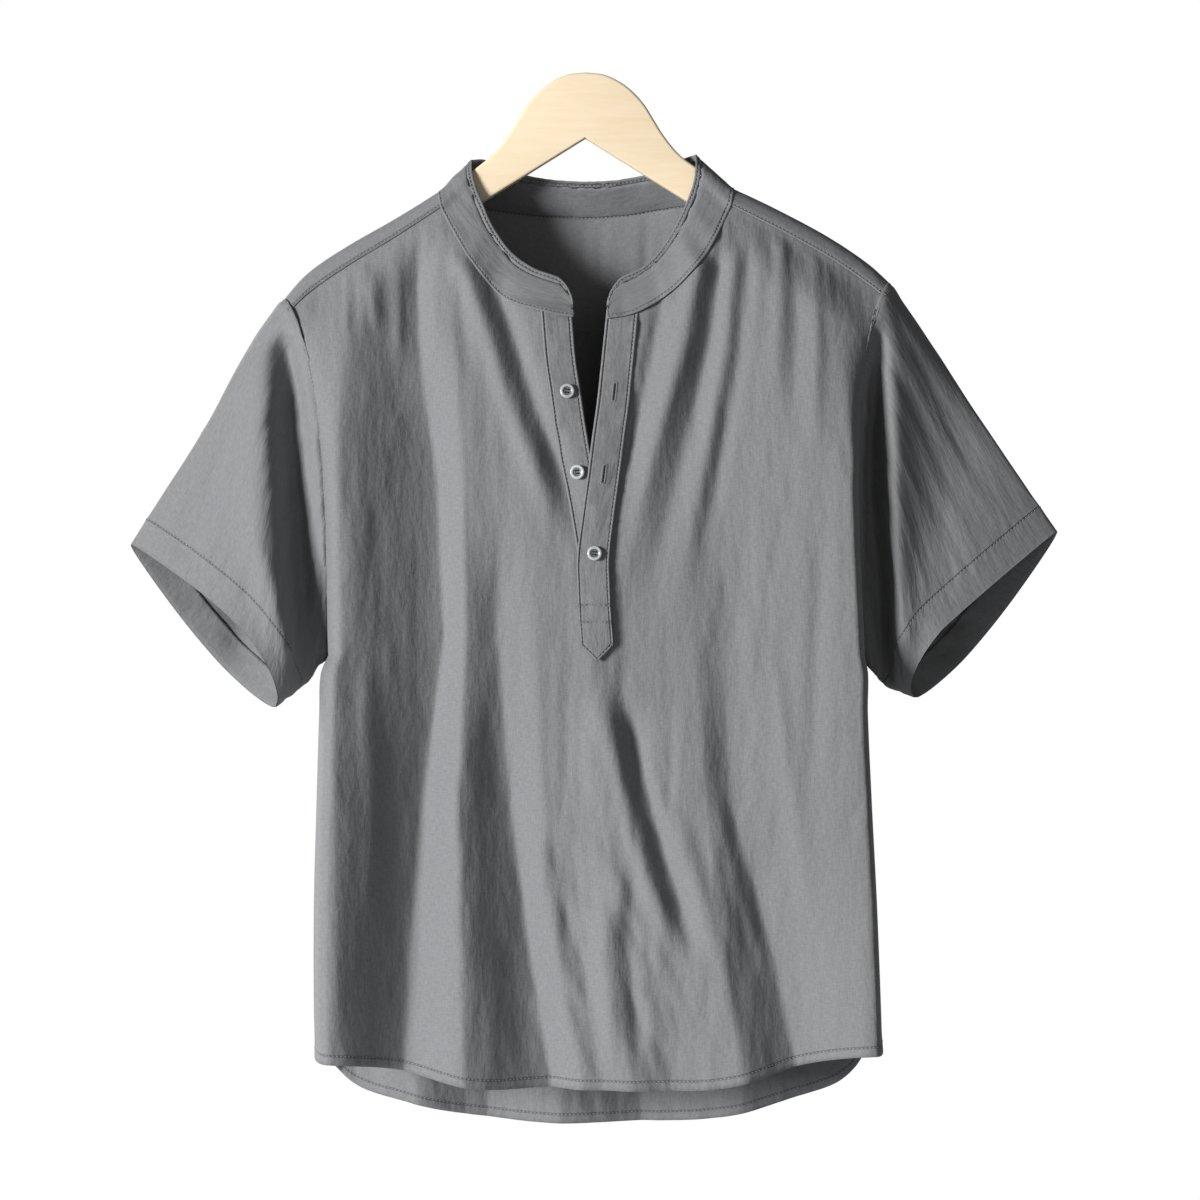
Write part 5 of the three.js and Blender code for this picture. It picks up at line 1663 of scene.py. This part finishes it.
@dataclass
class Stitching:
    """Stitches laid along their lines by Geometry Nodes."""

    name: str = "topstitching"
    pitch: float = 3.3
    length: float = 2.3
    width: float = 0.75
    height: float = 0.5
    segments: int = 6
    rings: int = 4

    SIZES = ("Pitch", "Length", "Width", "Height")

    def tree(self, thread: Material) -> NodeTree:
        """The node tree that puts a stitch at each step of a line.

        Args:
            thread: the thread's material.

        Returns:
            The tree.
        """
        tree = bpy.data.node_groups.new("stitches along seams", "GeometryNodeTree")
        sockets = tree.interface
        sockets.new_socket("Geometry", in_out="OUTPUT", socket_type="NodeSocketGeometry")
        sockets.new_socket("Seams", in_out="INPUT", socket_type="NodeSocketGeometry")
        for name in self.SIZES:
            sockets.new_socket(name, in_out="INPUT", socket_type="NodeSocketFloat")
        seams = add_node(tree, "NodeGroupInput").outputs
        curve = add_node(tree, "GeometryNodeMeshToCurve", inputs={"Mesh": seams["Seams"]})
        steps = add_node(tree, "GeometryNodeResampleCurve", {"mode": "LENGTH"},
                         {"Curve": curve, "Length": seams["Pitch"]})
        size = add_node(tree, "ShaderNodeCombineXYZ",
                        inputs={"X": seams["Length"], "Y": seams["Width"], "Z": seams["Height"]})
        ball = add_node(tree, "GeometryNodeMeshUVSphere", inputs={
            "Segments": self.segments, "Rings": self.rings, "Radius": 0.5})
        stitch = add_node(tree, "GeometryNodeTransform",
                          inputs={"Geometry": ball, "Scale": size})
        up = add_node(tree, "GeometryNodeInputNamedAttribute", {"data_type": "FLOAT_VECTOR"},
                      {"Name": "up"})
        way = add_node(tree, "GeometryNodeInputTangent")
        turn = add_node(tree, "FunctionNodeAxesToRotation",
                        {"primary_axis": "Z", "secondary_axis": "X"},
                        {0: up, 1: way})
        laid = add_node(tree, "GeometryNodeInstanceOnPoints", inputs={
            "Points": steps, "Instance": stitch,
            "Rotation": turn})
        real = add_node(tree, "GeometryNodeRealizeInstances", inputs={0: laid})
        dyed = add_node(tree, "GeometryNodeSetMaterial",
                        inputs={"Geometry": real, "Material": thread})
        add_node(tree, "NodeGroupOutput", inputs={0: dyed})
        return tree

    def build(self, lines: Lines, thread: Material) -> Object:
        """Lays stitches along every line.

        Args:
            lines: points and normals of each line, in millimetres.
            thread: the thread's material.

        Returns:
            The stitches as one plain mesh.
        """
        points, up = (np.vstack(parts) for parts in zip(*lines))
        starts = np.cumsum([0] + [len(line) for line, _ in lines[:-1]])
        edges = [(s + i, s + i + 1) for s, (line, _) in zip(starts, lines)
                 for i in range(len(line) - 1)]
        mesh = bpy.data.meshes.new(self.name)
        mesh.from_pydata((points * MM).tolist(), edges, [])
        attribute = mesh.attributes.new("up", "FLOAT_VECTOR", "POINT")
        attribute.data.foreach_set("vector", up.astype(np.float32).reshape(-1))
        piece = put(mesh)
        modifier = piece.modifiers.new("stitches", "NODES")
        modifier.node_group = self.tree(thread)
        for item in modifier.node_group.interface.items_tree:
            if item.in_out == "INPUT" and item.name in self.SIZES:
                modifier[item.identifier] = getattr(self, item.name.lower()) * MM
        plain(piece)
        piece.data.shade_smooth()
        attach(piece, BODY)
        log.info("%s: %d faces", self.name, len(piece.data.polygons))
        return piece


@dataclass
class Buttonhole:
    """A worked buttonhole: a slit, close stitches beside it and a bar at each end."""

    drop: float
    length: float = 14.5
    slit: float = 1.4
    beside: float = 1.35
    lift: float = 1.0
    steps: int = 12

    def on_placket(self, along: Array, across: Array, lift: float) -> Array:
        """Points over the placket.

        Args:
            along: places along the slit from its middle.
            across: places across it.
            lift: how far they stand out.

        Returns:
            The points.
        """
        placket = PLACKETS[Side.RIGHT]
        drop = self.drop + np.asarray(along, float)
        x = placket.middle.read("x", drop) + np.asarray(across, float)
        return place_at(x, placket.depth(x, drop) - lift, drop)

    def stitches(self) -> tuple[Array, Array]:
        """The line that the close stitches follow round the slit."""
        half, run = self.length / 2, np.linspace(-1, 1, self.steps)
        along = np.concatenate([run * half, [half, half], -run * half, [-half, -half]])
        side = np.concatenate([run * 0 + 1, [0.4, -0.4], run * 0 - 1, [-0.4, 0.4]])
        points = self.on_placket(along, side * self.beside, self.lift)
        return points, np.broadcast_to(np.array([0.0, -1.0, 0.0]), points.shape)

    def opening(self) -> Array:
        """Points of the slit's strip, as rows from its top to its foot."""
        along = np.linspace(-0.5, 0.5, self.steps)[:, None] * (self.length - 1)
        return self.on_placket(along, np.array([[-0.5, 0.5]]) * self.slit, self.lift - 0.05)

    def build(self, shade: Material) -> None:
        """Lays a near-black strip between the stitches, painted shade that stands for the open
        slit.
        """
        points = self.opening().reshape(-1, 3)
        faces = [(2 * k, 2 * k + 1, 2 * k + 3, 2 * k + 2) for k in range(self.steps - 1)]
        mesh = bpy.data.meshes.new(f"buttonhole_slit_{self.drop:.0f}")
        mesh.from_pydata((points * MM).tolist(), [], faces)
        piece = put(mesh)
        piece.data.materials.append(shade)
        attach(piece, BODY)


@dataclass
class Button:
    """A four-hole shirt button with a raised rim, and the thread that holds it."""

    node: str
    x: float
    drop: float
    over: float = 0.0
    radius: float = 5.75
    thick: float = 2.4
    rim: float = 2.2
    recess: float = 0.8
    hole: float = 0.7
    spread: float = 1.15
    gap: float = 1.1
    lift: float = 1.8
    cloth: float = 0.6
    strand: float = 0.24
    segments: int = 48

    def frame(self) -> Matrix:
        """Turn and place that lay the button on the front, with its face along its own Z."""
        step = 3.0
        xs = np.array([self.x - step, self.x + step, self.x, self.x])
        drops = np.array([self.drop, self.drop, self.drop - step, self.drop + step])
        left, right, above, below = place_at(xs, FORM.face_depth(Face.FRONT, xs, drops), drops)
        normal = Vector(np.cross(right - left, above - below)).normalized()
        normal = normal if normal.y < 0 else -normal
        depth = float(FORM.face_depth(Face.FRONT, self.x, self.drop)) - self.lift - self.over
        place = Vector((self.x, depth, -self.drop)) + normal * (self.cloth + self.gap)
        turn = Vector((0, 0, 1)).rotation_difference(normal).to_matrix().to_4x4()
        return Matrix.Translation(place) @ turn

    def build(self, finish: Material, dish: Material,
              thread: Material) -> None:
        """Turns the button, drills it, attaches it to the body, hides the model's part and sews it
        on.

        Args:
            finish: the button's material.
            dish: the material of its recess, darker as painted shade.
            thread: the thread's material.
        """
        inner, floor = self.radius - self.rim, self.thick - self.recess
        profile = [(0.001, 0), (self.radius - 0.7, 0), (self.radius - 0.2, 0.2), (self.radius, 0.7),
                   (self.radius, self.thick - 0.8), (self.radius - 0.35, self.thick - 0.2),
                   (self.radius - 0.9, self.thick), (inner, self.thick - 0.12),
                   (inner - 0.45, floor + 0.12), (inner - 0.8, floor), (0.001, floor)]
        angles, n = np.linspace(0, 2 * np.pi, self.segments, endpoint=False), self.segments
        points = [(r * math.cos(a), r * math.sin(a), z) for r, z in profile for a in angles]
        faces = [(k * n + i, k * n + (i + 1) % n, (k + 1) * n + (i + 1) % n, (k + 1) * n + i)
                 for k in range(len(profile) - 1) for i in range(n)]
        rough = bpy.data.meshes.new("rough")
        rough.from_pydata(points, [], faces)
        edit = bmesh.new()
        edit.from_mesh(rough)
        bmesh.ops.remove_doubles(edit, verts=edit.verts, dist=0.01)
        bmesh.ops.recalc_face_normals(edit, faces=edit.faces)
        piece = put(finished(f"{self.node}_turned", edit))
        drill(piece, self.hole, depth=8, segments=16, places=[
            (i * self.spread, j * self.spread) for i in (-1, 1) for j in (-1, 1)])
        piece.data.materials.append(finish)
        piece.data.materials.append(dish)
        # faces inside the rim take the darker material, painted shade where the rim shades the
        # recess
        for face in piece.data.polygons:
            reach = math.hypot(face.center.x, face.center.y)
            face.material_index = int(reach < inner and face.center.z > 0.4)
        place = self.frame()
        piece.data.transform(Matrix.Scale(MM, 4) @ place)
        piece.data.shade_smooth()
        piece.data.set_sharp_from_angle(angle=math.radians(50))
        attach(piece, BODY)
        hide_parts(self.node)
        self.sew(place, thread)
        log.info("%s: %d faces", piece.name, len(piece.data.polygons))

    def sew(self, place: Matrix, thread: Material) -> None:
        """Lays the two bars of thread between the holes.

        Args:
            place: the button's own frame.
            thread: the thread's material.
        """
        edit = bmesh.new()
        strands = [side * self.spread + strand for side in (-1, 1) for strand in (-0.25, 0.25)]
        steps = np.linspace(-1, 1, 9)
        for y in strands:
            for ends in zip(steps, steps[1:]):
                start, end = (Vector((self.spread * t, y,
                                      self.thick - self.recess + 0.5 * (1 - t**4) - 0.25))
                              for t in ends)
                way = end - start
                turn = Vector((0, 0, 1)).rotation_difference(way).to_matrix().to_4x4()
                bmesh.ops.create_cone(
                    edit, cap_ends=True, segments=8, radius1=self.strand, radius2=self.strand,
                    depth=way.length * 1.15, matrix=Matrix.Translation((start + end) / 2) @ turn)
        mesh = finished(f"{self.node}_thread", edit)
        mesh.transform(Matrix.Scale(MM, 4) @ place)
        mesh.shade_smooth()
        piece = put(mesh)
        piece.data.materials.append(thread)
        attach(piece, BODY)


@dataclass
class Hanger:
    """The flat wooden hanger: a board with rounded edges and a pilot hole at its top."""

    node: str = "hanger"
    thick: float = 10
    bevel: float = 2.4
    below: float = 2.4
    reach: float = 204
    arm_height: float = 21
    corner_rise: float = 4
    tip_cut: float = 6
    arm_from: float = 130
    top_middle: float = -1.8
    notch: Pair = (-2, -52.5)
    pilot_radius: float = 1.75
    pilot_depth: float = 14
    bevel_steps: int = 6

    TOP = ((0, 0), (14, 1.6), (24.6, 6), (35, 13), (46.3, 25), (54.3, 37.6), (62.3, 50.4),
           (75.6, 66.4), (97, 82.6), (105, 89.4), (112, 96), (120, 99.4))
    UNDER = {Side.LEFT: (87, -105.6), Side.RIGHT: (83, -105.6)}

    def half_outline(self, side: Side) -> Array:
        """Outline of one side, from the apex to the arm's end and back below."""
        out, drop = np.array(self.TOP, float).T
        top = SmoothLine(np.stack([out, np.zeros_like(out), -drop], -1)).at(np.linspace(0, 1, 70))
        x = side.sign * top[:, 0] + self.top_middle * (1 - ease(top[:, 0], 70, 110))
        arc = np.stack([x, top[:, 2]], -1)
        arm_x = side.sign * np.arange(self.arm_from, self.reach - self.tip_cut, 4.0)
        arm = np.stack([arm_x, -FORM.ridge_drop(arm_x) - self.below], -1)
        end = -float(FORM.ridge_drop(np.array(side.sign * self.reach))) - self.below
        foot, cut = end - self.arm_height, self.reach - self.tip_cut
        tip = [(cut, end + 1.0), (self.reach - 1.5, end - 1.5),
               (self.reach, end - self.corner_rise - 1), (self.reach, foot + self.tip_cut),
               (self.reach - 1.8, foot + 1.8), (cut, foot), self.UNDER[side]]
        return np.vstack([arc, arm, np.array(tip) * (side.sign, 1)])

    def build(self, finish: Material) -> None:
        """Builds the board, drills it, attaches it to the body and hides the model's part.

        Args:
            finish: the wood's material.
        """
        right, left = self.half_outline(Side.RIGHT), self.half_outline(Side.LEFT)
        outline = np.vstack([right, [self.notch], left[1:][::-1]])
        way = np.roll(outline, -1, axis=0) - np.roll(outline, 1, axis=0)
        inward = unit(np.stack([-way[:, 1], way[:, 0]], -1))
        if (inward * (outline.mean(axis=0) - outline)).sum() < 0:
            inward = -inward
        stack = []
        for k in range(self.bevel_steps + 1):
            angle = k / self.bevel_steps * math.pi / 2
            x, z = (outline + inward * (self.bevel * (1 - math.sin(angle)))).T
            depth = self.thick / 2 - self.bevel * (1 - math.cos(angle))
            front, back = (np.stack([x, np.full(len(x), y), z], -1) for y in (-depth, depth))
            stack[k:k] = [front, back]
        edit = bmesh.new()
        verts = [[edit.verts.new(p) for p in ring] for ring in stack]
        n = len(outline)
        for a, b in zip(verts[:-1], verts[1:]):
            for i in range(n):
                edit.faces.new((a[i], a[(i + 1) % n], b[(i + 1) % n], b[i]))
        for ring in (verts[0], verts[-1]):
            edges = [edit.edges.get((ring[i], ring[(i + 1) % n])) for i in range(n)]
            bmesh.ops.triangle_fill(edit, edges=edges, use_beauty=True)
        bmesh.ops.recalc_face_normals(edit, faces=edit.faces)
        piece = put(finished("hanger_board", edit))
        drill(piece, self.pilot_radius, depth=2 * self.pilot_depth, segments=24, places=[(0, 0)])
        piece.data.transform(Matrix.Scale(MM, 4))
        piece.data.shade_smooth()
        piece.data.set_sharp_from_angle(angle=math.radians(35))
        piece.data.materials.append(finish)
        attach(piece, BODY)
        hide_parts(self.node)
        log.info("hanger: %d faces", len(piece.data.polygons))


# ---- studio


@dataclass(frozen=True)
class Lamp:
    """A square soft light: its place and size in metres, and its power in watts."""

    name: str
    place: Triple
    size: float
    power: float

    def build(self, target: Triple) -> None:
        """Adds the light, turned to a target."""
        data = bpy.data.lights.new(self.name, "AREA")
        data.shape, data.size, data.energy = "SQUARE", self.size, self.power
        lamp = put(data)
        lamp.location = self.place
        way = Vector(target) - Vector(self.place)
        lamp.rotation_euler = way.to_track_quat("-Z", "Y").to_euler()


@dataclass
class Studio:
    """Camera, soft light and a plain pale floor, in metres."""

    camera_place: Triple = (0.0096, -2.6, -0.4216)
    lens: float = 97.5
    target: Triple = (0, 0, -0.42)
    dome: float = 0.125
    floor_drop: float = 1.22
    floor_radius: float = 1.2

    LAMPS = (Lamp("key", (-4.3, -3.5, 0.0), 1.5, 540), Lamp("fill", (0.9, -2.6, 0.3), 1.6, 4),
             Lamp("back", (-2.6, 3.6, 0.5), 1.5, 110))

    def build(self) -> None:
        """Sets up the camera, the lights, the white surroundings and the floor."""
        scene = bpy.context.scene
        data = bpy.data.cameras.new("camera")
        data.lens, data.sensor_width = self.lens, 36
        camera = put(data)
        camera.location = self.camera_place
        camera.rotation_euler = (math.pi / 2, 0, 0)
        scene.camera = camera
        scene.view_settings.view_transform = "Standard"
        for lamp in self.LAMPS:
            lamp.build(self.target)
        world = bpy.data.worlds.new("white studio")
        scene.world = world
        world.use_nodes = True
        tree = world.node_tree
        tree.nodes.clear()
        seen = add_node(tree, "ShaderNodeLightPath").outputs["Is Camera Ray"]
        strength = add_node(tree, "ShaderNodeMapRange", inputs={
            "Value": seen, "To Min": self.dome, "To Max": 1.0})
        white = add_node(tree, "ShaderNodeBackground", inputs={
            "Color": (1, 1, 1, 1), "Strength": strength})
        add_node(tree, "ShaderNodeOutputWorld", inputs={0: white})
        edit = bmesh.new()
        bmesh.ops.create_circle(edit, cap_ends=True, segments=96, radius=self.floor_radius,
                                matrix=Matrix.Translation((0, 0, -self.floor_drop)))
        floor = put(finished("floor", edit))
        floor.data.materials.append(FloorFinish().build())


def main() -> None:
    """Builds the studio, the hanger and the shirt, in order."""
    logging.basicConfig(level=logging.INFO, format="%(message)s")
    Studio().build()
    Hanger().build(WoodFinish().build())

    cloth, thread = ClothFinish().build(), ThreadFinish().build()
    # painted shade in the buttonhole slits; also the dark thread that sews the buttons, which the
    # eye sees as a dark spot
    shade = ThreadFinish("cloth in the shade of a buttonhole", colour="#1c1d1f").build()
    # each button's recess gets a darker copy of the resin as painted shade
    resin, dish = ButtonFinish().build(), ButtonFinish(
        "resin core darkened by painted shade", dark="#46494c", light="#74787b").build()

    front = BodyPanel("front_panel", (0.62, 0.73), 0.37)
    front.build_front()
    back = BodyPanel("back_panel", (0.58, 0.66), 0.33)
    back.build_back()
    yoke = Yoke("yoke", (0.52, 0.19), 0.062)
    yoke.build()
    sleeves = [Sleeve(f"sleeve_{side.value}", (0.44, 0.25), 0.085, side=side) for side in Side]
    for sleeve in sleeves:
        sleeve.build()
    collar = Collar("collar_band", (0.52, 0.04), 0.019, thickness=1.8, stitch_lift=1.0,
                    slot="collar_cloth")
    collar.build({Side.LEFT: yoke.grids[0], Side.RIGHT: yoke.grids[1]})
    for placket in PLACKETS.values():
        placket.build()

    pieces = [front, back, yoke, *sleeves, collar, *PLACKETS.values()]
    for piece in pieces:
        piece.dress(cloth)
    lines = [line for piece in pieces for line in piece.stitch_lines()]
    Stitching().build(lines, thread)

    holes = (Buttonhole(258.0), Buttonhole(322.7))
    Stitching("buttonhole_stitches", 0.55, 0.45, 1.5, 0.6).build(
        [hole.stitches() for hole in holes], thread)
    for hole in holes:
        hole.build(shade)
    for button in (Button("button_top", -16.5, 257.7), Button("button_middle", -7.8, 321.2),
                   Button("button_bottom", 5.1, 385.1, over=1.9)):
        button.build(resin, dish, shade)


if __name__ == "__main__":
    main()
